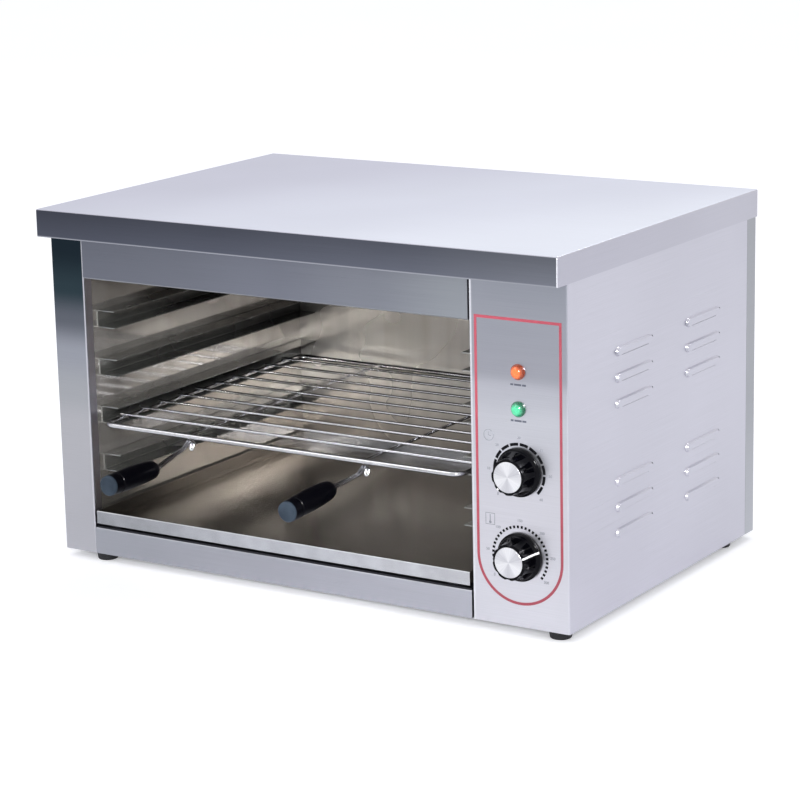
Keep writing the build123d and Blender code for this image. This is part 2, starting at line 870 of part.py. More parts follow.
def make_lamp_bodies():
    """Two neon lamp bodies behind the panel, each with two blades."""
    x = control_middle
    rear = y_front + lamp_neck_length
    with BuildPart() as lamp_bodies:
        for height in (amber_height, green_height):
            rod_y(x, height, lamp_body / 2, (rear, rear + lamp_body_length))
            for side in (-1, 1):
                middle = x + side * lamp_body * 0.3
                block(
                    (middle - blade[2] / 2, middle + blade[2] / 2),
                    (rear + lamp_body_length, rear + lamp_body_length + blade[1]),
                    (height - lamp_blade / 2, height + lamp_blade / 2),
                )
    nodes["lamp_bodies"] = lamp_bodies


def make_lamp_nuts():
    """Hexagon nuts behind the panel that hold the two lamps."""
    with BuildPart() as lamp_nuts:
        for height in (amber_height, green_height):
            plane = facing_front(control_middle, y_front + sheet + lamp_nut_height, height)
            extrude(hexagon(plane, lamp_nut, lamp_neck + 2 * touch_gap), lamp_nut_height)
    nodes["lamp_nuts"] = lamp_nuts


def make_panel_outline():
    """Printed line round the controls: square at the top, half round below."""
    left = open_right + outline_margin
    right = x_right - outline_edge
    radius = (right - left) / 2
    middle = (left + right) / 2
    centre_z = outline_bottom + radius
    plane = Plane(origin=(0, y_front, 0), x_dir=(1, 0, 0), z_dir=(0, -1, 0))

    with BuildPart() as panel_outline:
        with BuildSketch(plane) as outer:
            with Locations((middle, centre_z)):
                Circle(radius)
            with Locations((middle, (centre_z + outline_top) / 2)):
                Rectangle(2 * radius, outline_top - centre_z)
        with BuildSketch(plane) as inner:
            with Locations((middle, centre_z)):
                Circle(radius - outline_line)
            with Locations((middle, (centre_z + outline_top - outline_line) / 2)):
                Rectangle(
                    2 * (radius - outline_line), outline_top - outline_line - centre_z
                )
        extrude(outer.sketch, outline_film)
        extrude(inner.sketch, outline_film, mode=Mode.SUBTRACT)
    nodes["panel_outline"] = panel_outline


# --------------------------------------------------------- heating elements
def make_element(name, rows):
    """Tubular heating element: a hairpin under the ceiling."""
    left = wall_left + element_end_gap
    with BuildPart() as element:
        with BuildLine(Plane.XY.offset(element_z)) as path:
            FilletPolyline(
                (element_right, rows[0]),
                (left, rows[0]),
                (left, rows[1]),
                (element_right, rows[1]),
                radius=element_pitch * 0.4,
            )
        start = Plane(
            origin=(element_right, rows[0], element_z), x_dir=(0, 1, 0), z_dir=(-1, 0, 0)
        )
        with BuildSketch(start):
            Circle(element_diameter / 2)
        sweep(path=path.wire())
    nodes[name] = element


def make_element_fittings():
    """Ceramic sleeves and metal pins on the element ends, and their hangers."""
    sleeve = (element_right - insulator_length, element_right)
    with BuildPart() as element_insulators:
        for y in element_rows:
            rod_x(y, element_z, insulator_diameter / 2, sleeve)
            bore = element_diameter / 2 + touch_gap
            long_span = (sleeve[0] - sheet, sleeve[1] + sheet)
            rod_x(y, element_z, bore, long_span, Mode.SUBTRACT)
    with BuildPart() as element_pins:
        for y in element_rows:
            rod_x(y, element_z, pin_diameter / 2, (element_right, element_right + pin_length))
    with BuildPart() as element_hangers:
        margin = element_diameter * 1.6
        for side in (-0.5, 0.5):
            x = open_middle + side * support_spread
            block(
                (x - support_thickness / 2, x + support_thickness / 2),
                (element_rows[0] - margin, element_rows[-1] + margin),
                (ceiling - sheet - support_drop, ceiling - sheet),
            )
            for y in element_rows:
                span = (x - support_thickness, x + support_thickness)
                radius = element_diameter / 2 + hole_play
                rod_x(y, element_z, radius, span, Mode.SUBTRACT)
    nodes["element_insulators"] = element_insulators
    nodes["element_pins"] = element_pins
    nodes["element_hangers"] = element_hangers


def make_top_insulation():
    """Fibre slab on the cavity's ceiling."""
    with BuildPart() as top_insulation:
        block(
            (wall_left, wall_right),
            (y_front + return_depth + sheet, cavity_back),
            (ceiling, ceiling + insulation_thickness),
        )
    nodes["top_insulation"] = top_insulation


# ------------------------------------------------------------ sensing bulb
def bulb_height():
    """Height of the sensing bulb's centre line."""
    return element_z - bulb_offset


def bulb_end():
    """Y of the bulb's rear end, where its fine tube leaves."""
    return cavity_back - tray_back_gap * 5


def make_sensing_bulb():
    """Thermostat bulb in the cavity, its fine tube, and two clips."""
    x = wall_right - bulb_offset
    z = bulb_height()
    end = bulb_end()
    rear = y_front + sheet + thermostat_size[1]
    target_z = thermostat_height + thermostat_size[2] / 3
    with BuildPart() as sensing_bulb:
        rod_y(x, z, bulb_diameter / 2, (end - bulb_length, end - bulb_diameter))
        with BuildLine() as path:
            FilletPolyline(
                (x, end - bulb_diameter - sheet, z),
                (x, end, z),
                (wall_right + 2 * element_tail, end, z),
                (wall_right + 2 * element_tail, end - bulb_length, target_z),
                (control_middle, rear + 3 * clip_width, target_z),
                (control_middle, rear, target_z),
                radius=(4, 12, 30, 12),
            )
        start = Plane(origin=path.line @ 0, x_dir=(1, 0, 0), z_dir=path.line % 0)
        with BuildSketch(start):
            Circle(capillary / 2)
        sweep(path=path.wire())
    with BuildPart() as bulb_clips:
        for share in (0.3, 0.8):
            y = end - bulb_length * share
            block(
                (x - bulb_diameter * 0.8, wall_right),
                (y - clip_width / 2, y + clip_width / 2),
                (z - bulb_diameter * 0.8, z + bulb_diameter * 0.8),
            )
            span = (y - clip_width, y + clip_width)
            rod_y(x, z, bulb_diameter / 2 + touch_gap, span, Mode.SUBTRACT)
    nodes["sensing_bulb"] = sensing_bulb
    nodes["bulb_clips"] = bulb_clips


# ------------------------------------------------------------------- wiring
def make_terminal_block():
    """Mains terminal block on the base, its screws, and the earth stud."""
    x = control_middle
    y = y_skin - block_back_gap
    width, depth, tall = block_size
    with BuildPart() as terminal_block:
        block(
            (x - width / 2, x + width / 2),
            (y - depth / 2, y + depth / 2),
            (base_top, base_top + tall),
        )
        for step in (-1, 0, 1):
            for row in (-1, 1):
                rod_z_axis(
                    x + step * width / 3,
                    y + row * depth / 4,
                    screw_diameter / 2 + screw_play,
                    (base_top + tall / 2, base_top + tall + sheet),
                    Mode.SUBTRACT,
                )
    with BuildPart() as terminal_screws:
        for step in (-1, 0, 1):
            for row in (-1, 1):
                rod_z_axis(
                    x + step * width / 3,
                    y + row * depth / 4,
                    screw_diameter / 2,
                    (base_top + tall / 2, base_top + tall - sheet),
                )
    stud_x = x - width / 2 - stud_nut / 4
    stud_y = y_skin - angle_leg * 1.4
    with BuildPart() as earth_stud:
        rod_z_axis(stud_x, stud_y, stud_diameter / 2, (base_top, base_top + stud_height))
        for low in (0, stud_height * 0.55):
            plane = Plane((stud_x, stud_y, base_top + low))
            extrude(hexagon(plane, stud_nut, stud_diameter * 0.9), stud_diameter * 0.8)
    nodes["terminal_block"] = terminal_block
    nodes["terminal_screws"] = terminal_screws
    nodes["earth_stud"] = earth_stud


def make_wire(name, points, radii):
    """Insulated wire along straight runs and tangent arcs."""
    with BuildPart() as lead:
        with BuildLine() as path:
            FilletPolyline(*points, radius=radii)
        start = Plane(origin=path.line @ 0, z_dir=path.line % 0)
        with BuildSketch(start):
            Circle(wire / 2)
        sweep(path=path.wire())
    nodes[name] = lead


def make_wiring():
    """Internal leads between the block, the controls, the lamps and the elements."""
    x = control_middle
    block_front = y_skin - block_back_gap - block_size[1] / 2
    block_z = base_top + block_size[2] * 0.3
    timer_tab = y_front + sheet + timer_size[1] + blade[1]
    stat_tab = y_front + sheet + thermostat_size[1] + blade[1]
    pin_end = element_right + pin_length
    left_tab = timer_size[0] / 4
    stat_side = thermostat_size[0] / 4
    make_wire(
        "lead_block_to_timer",
        [
            (x - block_size[0] / 3, block_front, block_z),
            (x - block_size[0] / 3, block_front - 2 * lead_run, block_z),
            (x - left_tab, timer_tab + 3 * lead_run, timer_height),
            (x - left_tab, timer_tab, timer_height),
        ],
        [lead_bend, lead_bend],
    )
    make_wire(
        "lead_timer_to_thermostat",
        [
            (x + left_tab, timer_tab, timer_height),
            (x + left_tab, timer_tab + 1.5 * lead_run, timer_height),
            (x + stat_side, stat_tab + 1.8 * lead_run, thermostat_height),
            (x + stat_side, stat_tab, thermostat_height),
        ],
        [lead_bend * 0.7, lead_bend * 0.7],
    )
    make_wire(
        "lead_thermostat_to_elements",
        [
            (x - stat_side, stat_tab, thermostat_height),
            (x - stat_side, stat_tab + 2.5 * lead_run, thermostat_height),
            (pin_end + lead_run, element_rows[0] + lead_run / 4, element_z - 2 * lead_run),
            (pin_end + lead_run, element_rows[0], element_z),
            (pin_end, element_rows[0], element_z),
        ],
        [lead_bend * 0.9, lead_bend * 0.7, lead_bend * 0.45],
    )
    make_wire(
        "lead_elements_to_block",
        [
            (pin_end, element_rows[3], element_z),
            (pin_end + lead_run, element_rows[3], element_z),
            (pin_end + lead_run, element_rows[3] - 1.6 * lead_run, element_z - 2.5 * lead_run),
            (x + block_size[0] / 3, block_front - 1.5 * lead_run, block_z),
            (x + block_size[0] / 3, block_front, block_z),
        ],
        [lead_bend / 2, lead_bend * 0.7, lead_bend * 0.7],
    )
    make_wire(
        "lead_element_link",
        [
            (pin_end, element_rows[1], element_z),
            (pin_end + lead_run * 0.8, element_rows[1], element_z),
            (pin_end + lead_run * 0.8, element_rows[2], element_z),
            (pin_end, element_rows[2], element_z),
        ],
        [lead_bend * 0.6, lead_bend * 0.6],
    )


def make_cable_gland():
    """Cable inlet through the back panel, with its lock nut inside."""
    x = control_middle
    z = gland_height
    with BuildPart() as cable_gland:
        collar = facing_front(x, y_back + gland_collar_length, z)
        extrude(hexagon(collar, gland_collar, gland_bore), gland_collar_length)
        dome_end = y_back + gland_collar_length + gland_dome_length
        rod_y(x, z, gland_dome / 2, (y_back + gland_collar_length, dome_end))
        fillet(cable_gland.edges().group_by(Axis.Y)[-1], bend)
        rod_y(x, z, gland_neck / 2, (y_back - gland_neck_length, y_back))
        bore = (y_back - gland_neck_length - sheet, dome_end + sheet)
        rod_y(x, z, gland_bore / 2, bore, Mode.SUBTRACT)
    with BuildPart() as gland_lock_nut:
        plane = facing_front(x, y_skin, z)
        extrude(hexagon(plane, gland_nut, gland_neck + 2 * touch_gap), gland_nut_height)
    nodes["cable_gland"] = cable_gland
    nodes["gland_lock_nut"] = gland_lock_nut


# --------------------------------------------------------- feet and screws
def make_feet():
    """Four rubber feet, and the screws that hold them to the base."""
    for name, (x, y) in foot_places.items():
        with BuildPart() as foot:
            with BuildSketch():
                with Locations((x, y)):
                    Circle(foot_diameter / 2 - foot_taper)
            with BuildSketch(Plane.XY.offset(foot_height)):
                with Locations((x, y)):
                    Circle(foot_diameter / 2)
            loft()
            fillet(foot.edges().group_by(Axis.Z)[0], foot_round)
            through = (-sheet, foot_height + sheet)
            rod_z_axis(x, y, foot_screw / 2 + hole_play, through, Mode.SUBTRACT)
            sink = foot_screw_head / 2 + hole_play
            rod_z_axis(x, y, sink, (-sheet, foot_screw_sink), Mode.SUBTRACT)
        nodes[name] = foot
    with BuildPart() as foot_screws:
        for x, y in foot_places.values():
            head = (foot_screw_sink - foot_screw / 2, foot_screw_sink)
            rod_z_axis(x, y, foot_screw_head / 2, head)
            rod_z_axis(x, y, foot_screw / 2, (foot_screw_sink, base_top + foot_screw))
    nodes["foot_screws"] = foot_screws


def make_panel_screws():
    """Screws through the back panel and through the lid's rear lip."""
    with BuildPart() as panel_screws:
        for x, z in angle_screws + base_screws:
            rod_y(x, z, screw_diameter / 2, (y_back - screw_length, y_back))
            rod_y(x, z, screw_head / 2, (y_back, y_back + screw_head_height))
        for x, z in lid_screws:
            rod_y(x, z, screw_diameter / 2, (lid_depth / 2 - screw_length, lid_depth / 2))
            rod_y(x, z, screw_head / 2, (lid_depth / 2, lid_depth / 2 + screw_head_height))
    nodes["panel_screws"] = panel_screws


# ---------------------------------------------------------------- assembly
make_lid()
make_left_panel()
make_control_panel()
make_back_panel()
make_base_pan()
make_front_strips()
make_corner_angles()
make_cavity()
make_runners()
make_crumb_tray()
make_wire_rack()
make_handle("left", open_middle - handle_spread / 2, *left_grip_hang)
make_handle("right", open_middle + handle_spread / 2, *right_grip_hang)
make_knob("timer", timer_height, timer_size, timer_pointer)
make_knob("thermostat", thermostat_height, thermostat_size, thermostat_pointer)
make_control_nuts()
make_lamp("amber", amber_height)
make_lamp("green", green_height)
make_lamp_bodies()
make_lamp_nuts()
make_panel_outline()
make_element("heating_element_front", element_rows[:2])
make_element("heating_element_rear", element_rows[2:])
make_element_fittings()
make_top_insulation()
make_sensing_bulb()
make_terminal_block()
make_wiring()
make_cable_gland()
make_feet()
make_panel_screws()

os.makedirs("parts", exist_ok=True)
for node, made in nodes.items():
    made.part.label = node
    export_step(made.part, f"parts/{node}.step")
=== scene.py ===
"""Looks for a countertop cheese melter: steel finishes, panel marks, dials, lamps and a studio."""

import math

import bmesh
import bpy
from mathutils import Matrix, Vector


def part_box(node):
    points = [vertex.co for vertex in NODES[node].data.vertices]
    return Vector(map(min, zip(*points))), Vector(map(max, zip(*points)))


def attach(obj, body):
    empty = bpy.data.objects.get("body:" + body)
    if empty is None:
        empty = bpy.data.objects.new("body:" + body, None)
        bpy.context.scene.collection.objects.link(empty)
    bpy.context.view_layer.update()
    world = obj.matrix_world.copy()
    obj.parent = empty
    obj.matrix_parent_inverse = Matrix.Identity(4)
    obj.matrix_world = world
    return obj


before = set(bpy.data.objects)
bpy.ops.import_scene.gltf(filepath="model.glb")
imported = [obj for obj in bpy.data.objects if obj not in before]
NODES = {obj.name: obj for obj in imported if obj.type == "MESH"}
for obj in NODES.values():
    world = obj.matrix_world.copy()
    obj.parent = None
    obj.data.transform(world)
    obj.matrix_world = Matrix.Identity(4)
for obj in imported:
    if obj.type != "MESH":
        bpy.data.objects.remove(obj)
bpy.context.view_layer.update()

bl_info = {
    "name": "Cheese Melter Finishes",
    "version": (1, 0, 0),
    "blender": (4, 5, 0),
    "location": "3D View > Sidebar > Melter",
    "description": "Steel finishes, panel marks, dials, lamps and studio of a cheese melter",
    "category": "Object",
}


def centre(name, axis):
    """Middle of a CAD node's box along an axis."""
    low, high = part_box(name)
    return (low[axis] + high[axis]) / 2


X, Z = 0, 2
PANEL_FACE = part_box("control_side_panel")[0].y
DIAL_X = centre("timer_knob", X)
TIMER_Z = centre("timer_knob", Z)
THERMO_Z = centre("thermostat_knob", Z)
AMBER_Z = centre("amber_lens", Z)
GREEN_Z = centre("green_lens", Z)

# Metres between which the tones of the sheets run.
SHEET_TOP = 0.33
CAVITY_LOW, CAVITY_HIGH = 0.05, 0.31
CAVITY_FRONT, CAVITY_REAR = -0.18, 0.19

# Noise steps per metre along and across the brushed lines.
GRAIN_ALONG, GRAIN_ACROSS = 9.0, 1400.0

# Turns round a dial are in degrees, clockwise from the top: first, step and count.
DASH_TURNS = (-124.3, 22.6, 12)
DOT_TURNS = (-127.1, 8.2, 32)
TIMER_NUMERALS = (-135.6, 45.2, 7)
THERMO_NUMERALS = (-127.1, 42.4, 7)
TIMER_POINTER, THERMO_POINTER = -140.0, 70.5

# Middles of the clock and the thermometer symbol on the panel.
CLOCK = (0.2072, 0.1836)
GAUGE = (0.2077, 0.1058)
MARK_BASE = 0.00002

CAMERA_PLACE = (1.4188, -2.2140, 0.7877)
CAMERA_TURN = (76.4355, 1.2320, 32.4131)


# ------------------------------------------------------------------ settings
def linear(code, alpha=1.0):
    """Linear colour of a six-digit screen colour."""
    parts = [int(code[i : i + 2], 16) / 255 for i in (0, 2, 4)]
    line = [c / 12.92 if c <= 0.04045 else ((c + 0.055) / 1.055) ** 2.4 for c in parts]
    return (line[0], line[1], line[2], alpha)


def colour_setting(name, text, code):
    """Colour property with its default given as a screen colour."""
    return bpy.props.FloatVectorProperty(
        name=name, description=text, subtype="COLOR", size=4, min=0, max=1, default=linear(code)
    )


def length_setting(name, text, value):
    """Length property with its default in metres."""
    return bpy.props.FloatProperty(
        name=name, description=text, unit="LENGTH", precision=5, min=0, default=value
    )


class MelterSteelSettings(bpy.types.PropertyGroup):
    """Tones of the sheet steel; their bands by place and by face are painted reflection and shade,
    and the edge tone is a painted highlight.
    """

    # Lid's upper face, lighter towards the right front corner: a painted reflection.
    lid_left: colour_setting("Lid, left", "Lid's upper face at its left end", "babbce")
    lid_right: colour_setting("Lid, right", "Lid's upper face at its right front corner", "dde1ee")
    # Lid's front lip, darker than the upper face and the side lips: a painted reflection of the
    # dark room.
    lip_left: colour_setting("Lip, left", "Lid's front lip at its left end", "494c57")
    lip_right: colour_setting("Lip, right", "Lid's front lip at its right end", "6d7079")
    # Lid's side and back lips, lighter than the front lip: a painted reflection.
    lid_side: colour_setting("Lid side lip", "Lid's lips on the sides and the back", "bcbbc6")
    # Post, fascia, panel and rail fronts: their bands by height and from left to right are painted
    # reflection, near black on the post under the lid.
    post_high: colour_setting("Post, high", "Left post near the lid", "1d2830")
    post_middle: colour_setting("Post, middle", "Left post half way down", "a6a8ad")
    post_low: colour_setting("Post, low", "Left post near the counter", "bbbbc1")
    fascia_left: colour_setting("Fascia, left", "Strip over the opening, left", "6b6e78")
    fascia_right: colour_setting("Fascia, right", "Strip over the opening, right", "94989e")
    panel_high: colour_setting("Panel, high", "Control panel near the lid", "989ba4")
    panel_low: colour_setting("Panel, low", "Control panel from the lamps down", "d4d3da")
    rail_left: colour_setting("Rail, left", "Strip under the opening, left", "a8aab2")
    rail_right: colour_setting("Rail, right", "Strip under the opening, right", "b9bac3")
    side: colour_setting("Sides", "Side sheets", "c9c8d2")
    # Sides, low: lighter near the counter, a painted reflection of the pale floor.
    side_low: colour_setting("Sides, low", "Side sheets near the counter", "cccbd5")
    back: colour_setting("Back", "Back sheet and base", "a9abb0")
    # Edge: a painted highlight along a bend or a cut edge.
    edge: colour_setting("Edge", "Bright line along a bend or a cut edge", "eff0f5")
    # Cavity wall, rear and runner: the cooking-space operator darkens them towards the corners and
    # the rear as painted shade.
    wall: colour_setting("Cavity wall", "Side walls of the cooking space", "e2ded9")
    rear: colour_setting("Cavity rear", "Rear wall of the cooking space", "dcd5cd")
    runner: colour_setting("Runner", "Runners of the rack", "9a9b98")
    tray: colour_setting("Tray", "Crumb tray's floor", "59544e")
    # Tray front: lighter to the right as painted reflection, with a painted highlight on its top
    # edge.
    apron: colour_setting("Tray front", "Crumb tray's front lip", "bcbec4")
    grain_depth: bpy.props.FloatProperty(
        name="Grain depth", description="Strength of the brushed lines", min=0, max=1, default=0.05
    )


class MelterPrintSettings(bpy.types.PropertyGroup):
    """Marks printed on the control panel."""

    red: colour_setting("Outline", "Colour of the line round the controls", "9a3f4d")
    ink: colour_setting("Ink", "Colour of the dial marks", "06060a")
    grey: colour_setting("Grey ink", "Colour of numerals, bars and symbols", "84868f")
    film: length_setting("Film", "Thickness of a printed mark", 0.0002)
    timer_ring: length_setting("Timer ring", "Radius of the timer's dashes", 0.0256)
    thermo_ring: length_setting("Thermostat ring", "Radius of the thermostat's dots", 0.0279)
    numeral: length_setting("Numeral", "Height of a numeral", 0.0036)


class MelterStudioSettings(bpy.types.PropertyGroup):
    """Floor, light and camera."""

    floor: colour_setting("Floor", "Colour of the floor", "f7f7f9")
    room: bpy.props.FloatProperty(
        name="Room light", description="Strength of the even light", min=0, max=3, default=0.84
    )
    lift: bpy.props.FloatProperty(
        name="Floor lift", description="White added to the floor as it is seen", min=0, max=1,
        default=0.24
    )
    lens: bpy.props.FloatProperty(
        name="Lens", description="Focal length in millimetres", min=20, max=300, default=122.7
    )


# ------------------------------------------------------------- node building
class Mix:
    """Short way to build a node tree."""

    def __init__(self, tree):
        self.tree = tree

    def node(self, kind, inputs=None, **settings):
        """A node with its settings and inputs; an input is a value or a socket."""
        made = self.tree.nodes.new(kind)
        for key, value in settings.items():
            setattr(made, key, value)
        for key, value in (inputs or {}).items():
            self.feed(made.inputs[key], value)
        return made

    def feed(self, socket, value):
        """Links a socket, or sets a plain value."""
        if isinstance(value, bpy.types.NodeSocket):
            self.tree.links.new(value, socket)
        else:
            socket.default_value = value

    def math(self, operation, first, second=0.0):
        """One Math node's result."""
        made = self.node("ShaderNodeMath", {0: first, 1: second}, operation=operation)
        return made.outputs[0]

    def place(self):
        """Object coordinates, in metres, of the shaded point."""
        return self.node("ShaderNodeTexCoord").outputs["Object"]

    def spot(self):
        """X, Y and Z of the shaded point."""
        return self.node("ShaderNodeSeparateXYZ", {0: self.place()}).outputs[:3]

    def vector(self, x=0.0, y=0.0, z=0.0):
        """A vector from three values or sockets."""
        return self.node("ShaderNodeCombineXYZ", {0: x, 1: y, 2: z}).outputs[0]

    def scaled(self, *steps):
        """Place of the shaded point, with X, Y and Z multiplied."""
        parts = [self.math("MULTIPLY", part, step) for part, step in zip(self.spot(), steps)]
        return self.vector(*parts)

    def reach(self, first, second):
        """Length of a line with two square parts."""
        squares = [self.math("MULTIPLY", part, part) for part in (first, second)]
        return self.math("SQRT", self.math("ADD", *squares))

    def noise(self, vector, scale, detail=3.0, rough=0.5):
        """Noise between 0 and 1."""
        made = self.node(
            "ShaderNodeTexNoise",
            {"Vector": vector, "Scale": scale, "Detail": detail, "Roughness": rough},
        )
        return made.outputs[0]

    def ramp(self, value, low, high, start=0.0, end=1.0, way="LINEAR"):
        """Value mapped from low..high to start..end, held at both ends."""
        made = self.node(
            "ShaderNodeMapRange",
            {0: value, 1: low, 2: high, 3: start, 4: end},
            clamp=True,
            interpolation_type=way,
        )
        return made.outputs[0]

    def tones(self, value, stops):
        """Colour ramp through (place, colour) stops."""
        made = self.node("ShaderNodeValToRGB", {0: value})
        band = made.color_ramp
        band.interpolation = "EASE"
        while len(band.elements) < len(stops):
            band.elements.new(0.5)
        for element, (where, colour) in zip(band.elements, stops):
            element.position = where
            element.color = colour
        return made.outputs[0]

    def span(self, value, low, high, *colours):
        """Colours spread evenly over a range of a coordinate."""
        stops = [(i / (len(colours) - 1), colour) for i, colour in enumerate(colours)]
        return self.tones(self.ramp(value, low, high), stops)

    def blend(self, share, first, second, way="MIX"):
        """Two colours blended by a share."""
        made = self.node("ShaderNodeMix", data_type="RGBA", blend_type=way)
        self.feed(made.inputs[0], share)
        self.feed(made.inputs[6], first)
        self.feed(made.inputs[7], second)
        return made.outputs[2]

    def shaded(self, colour, value):
        """A colour made darker or lighter by one value."""
        grey = self.node("ShaderNodeCombineColor", {0: value, 1: value, 2: value}).outputs[0]
        return self.blend(1.0, colour, grey, "MULTIPLY")

    def facing(self, x=0.0, y=0.0, z=0.0, soft=0.35):
        """1 where the surface faces a direction fixed to the object, else 0."""
        normal = self.node("ShaderNodeNewGeometry").outputs["True Normal"]
        dot = self.node("ShaderNodeVectorMath", {0: normal, 1: (x, y, z)}, operation="DOT_PRODUCT")
        return self.ramp(dot.outputs["Value"], 0.9 - soft, 0.9)


class Paint(Mix):
    """A new material and the node tree of its one shader."""

    def __init__(self, name):
        self.material = bpy.data.materials.new(name)
        self.material.use_nodes = True
        super().__init__(self.material.node_tree)
        self.shader = self.tree.nodes["Principled BSDF"]

    def bump(self, height, strength, distance):
        """Bump of the shader's normal."""
        made = self.node(
            "ShaderNodeBump", {"Height": height, "Strength": strength, "Distance": distance}
        )
        self.feed(self.shader.inputs["Normal"], made.outputs[0])

    def surface(self, **values):
        """Sets or links the shader's sockets by name, with _ for a space."""
        for key, value in values.items():
            self.feed(self.shader.inputs[key.replace("_", " ")], value)
        return self.material


def dress(material, *names):
    """Puts one material on whole CAD nodes."""
    for name in names:
        slots = NODES[name].data.materials
        slots.clear()
        slots.append(material)


def brushed_lines(mix):
    """Fine lines: level on upright faces, along X on level ones."""
    x, y, z = mix.spot()
    along = mix.math("MULTIPLY", mix.math("ADD", x, y), GRAIN_ALONG)
    across = mix.math("MULTIPLY", mix.math("MULTIPLY", y, mix.facing(z=1.0)), GRAIN_ACROSS)
    lines = mix.vector(along, across, mix.math("MULTIPLY", z, GRAIN_ACROSS))
    return mix.noise(lines, 1.0, 4.0, 0.65)


def clouds(mix, scale=6.0):
    """Broad soft cloudiness of rolled sheet."""
    return mix.noise(mix.place(), scale, 2.0, 0.45)


def painted_highlight_line(mix, colour, value, where, width, tone):
    """Colour with a painted highlight, a bright line where a coordinate is within a width of a
    place.
    """
    gap = mix.math("ABSOLUTE", mix.math("SUBTRACT", value, where))
    return mix.blend(mix.ramp(gap, width, width * 0.4), colour, tone)


def sheet_steel(mix, colour, depth, roughness=0.3):
    """Brushed stainless sheet in a given colour, with fine lines and soft clouds."""
    lines = brushed_lines(mix)
    grain = mix.ramp(lines, 0.25, 0.75, 0.94, 1.05)
    shade = mix.math("MULTIPLY", grain, mix.ramp(clouds(mix), 0.25, 0.75, 0.97, 1.03))
    rough = mix.ramp(lines, 0.2, 0.8, roughness - 0.05, roughness + 0.07)
    mix.bump(lines, depth, 0.0002)
    return mix.surface(Base_Color=mix.shaded(colour, shade), Metallic=1.0, Roughness=rough)


def cavity_steel(name, paint, roughness, upright=True, metal=0.8):
    """Rolled sheet of the cooking space, faintly stained and streaked."""
    mix = Paint(name)
    steps = (60.0, 60.0, 3.0) if upright else (60.0, 4.0, 60.0)
    streak = mix.noise(mix.scaled(*steps), 1.0, 2.0, 0.45)
    stain = mix.noise(mix.place(), 9.0, 2.0, 0.4)
    share = mix.math("ADD", mix.math("MULTIPLY", streak, 0.6), mix.math("MULTIPLY", stain, 0.4))
    shade = mix.ramp(share, 0.2, 0.8, 1.08, 0.8, "SMOOTHSTEP")
    rough = mix.ramp(stain, 0.1, 0.9, roughness - 0.06, roughness + 0.1, "SMOOTHSTEP")
    mix.bump(stain, 0.04, 0.004)
    colour = mix.shaded(paint(mix, *mix.spot()), shade)
    return mix.surface(Base_Color=colour, Metallic=metal, Roughness=rough)


def upwards(*colours):
    """Tones from the bottom of the cooking space to its top."""
    return lambda mix, x, y, z: mix.span(z, CAVITY_LOW, CAVITY_HIGH, *colours)


def inwards(*colours):
    """Tones from the front of the cooking space to its rear."""
    return lambda mix, x, y, z: mix.span(y, CAVITY_FRONT, CAVITY_REAR, *colours)


def plain_metal(name, code, roughness, lines=500.0, spread=0.12):
    """Small metal parts: one tone with fine turned or drawn marks."""
    mix = Paint(name)
    mark = mix.noise(mix.place(), lines, 3.0, 0.6)
    shade = mix.ramp(mark, 0.3, 0.7, 1.0 - spread, 1.0 + spread * 0.4)
    rough = mix.ramp(mark, 0.25, 0.75, roughness * 0.75, roughness * 1.3)
    mix.bump(mark, 0.05, 0.0001)
    return mix.surface(Base_Color=mix.shaded(linear(code), shade), Metallic=1.0, Roughness=rough)


def moulding(name, code, roughness, scale=700.0, depth=0.06, coat=0.0, shine=0.5):
    """Moulded plastic, rubber or ceramic with a faint skin."""
    mix = Paint(name)
    skin = mix.noise(mix.place(), scale, 2.0, 0.5)
    shade = mix.ramp(clouds(mix, 30.0), 0.3, 0.7, 0.88, 1.08)
    mix.bump(skin, depth, 0.0002)
    return mix.surface(
        Base_Color=mix.shaded(linear(code), shade),
        Roughness=mix.ramp(skin, 0.2, 0.8, roughness * 0.85, roughness * 1.2),
        Coat_Weight=coat,
        Specular_IOR_Level=shine,
    )


def flat_ink(name, scale, first, second, **values):
    """Printed colour that varies a little between two tones."""
    mix = Paint(name)
    return mix.surface(Base_Color=mix.blend(clouds(mix, scale), first, second), **values)


# -------------------------------------------------------------- mesh building
def placed(name, data):
    """A new object in the scene."""
    made = bpy.data.objects.new(name, data)
    bpy.context.scene.collection.objects.link(made)
    return made


def as_mesh(build, name):
    """A finished bmesh as a mesh."""
    mesh = bpy.data.meshes.new(name)
    build.to_mesh(mesh)
    build.free()
    return mesh


def add_piece(name, mesh, body, material):
    """Links a new mesh piece that rides on a body."""
    piece = placed(name, mesh)
    mesh.materials.append(material)
    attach(piece, body)


def on_panel(u, w, lift=0.0):
    """Point of the panel's front face, u to the right and w up, lifted forwards."""
    return Vector((u, PANEL_FACE - lift, w))


def add_marks(name, outlines, film, material):
    """Thin raised marks on the panel face, one per closed outline of (u, w) points."""
    build = bmesh.new()
    for outline in outlines:
        top = [build.verts.new(on_panel(u, w, film)) for u, w in outline]
        low = [build.verts.new(on_panel(u, w, MARK_BASE)) for u, w in outline]
        build.faces.new(top)
        for i in range(len(top)):
            build.faces.new((top[i - 1], low[i - 1], low[i], top[i]))
    bmesh.ops.recalc_face_normals(build, faces=build.faces)
    add_piece(name, as_mesh(build, name), "housing", material)


def turned(centre, radius, turn):
    """Panel point at a radius and a clockwise turn from the top of a centre."""
    angle = math.radians(turn)
    return centre[0] + radius * math.sin(angle), centre[1] + radius * math.cos(angle)


def even_turns(first, step, count):
    """Evenly spaced turns."""
    return [first + step * i for i in range(count)]


def arc_mark(centre, radius, width, start, end, steps):
    """Outline of a ring piece between two turns."""
    turns = even_turns(start, (end - start) / steps, steps + 1)
    rim = [turned(centre, radius + width / 2, turn) for turn in turns]
    hub = [turned(centre, radius - width / 2, turn) for turn in reversed(turns)]
    return rim + hub


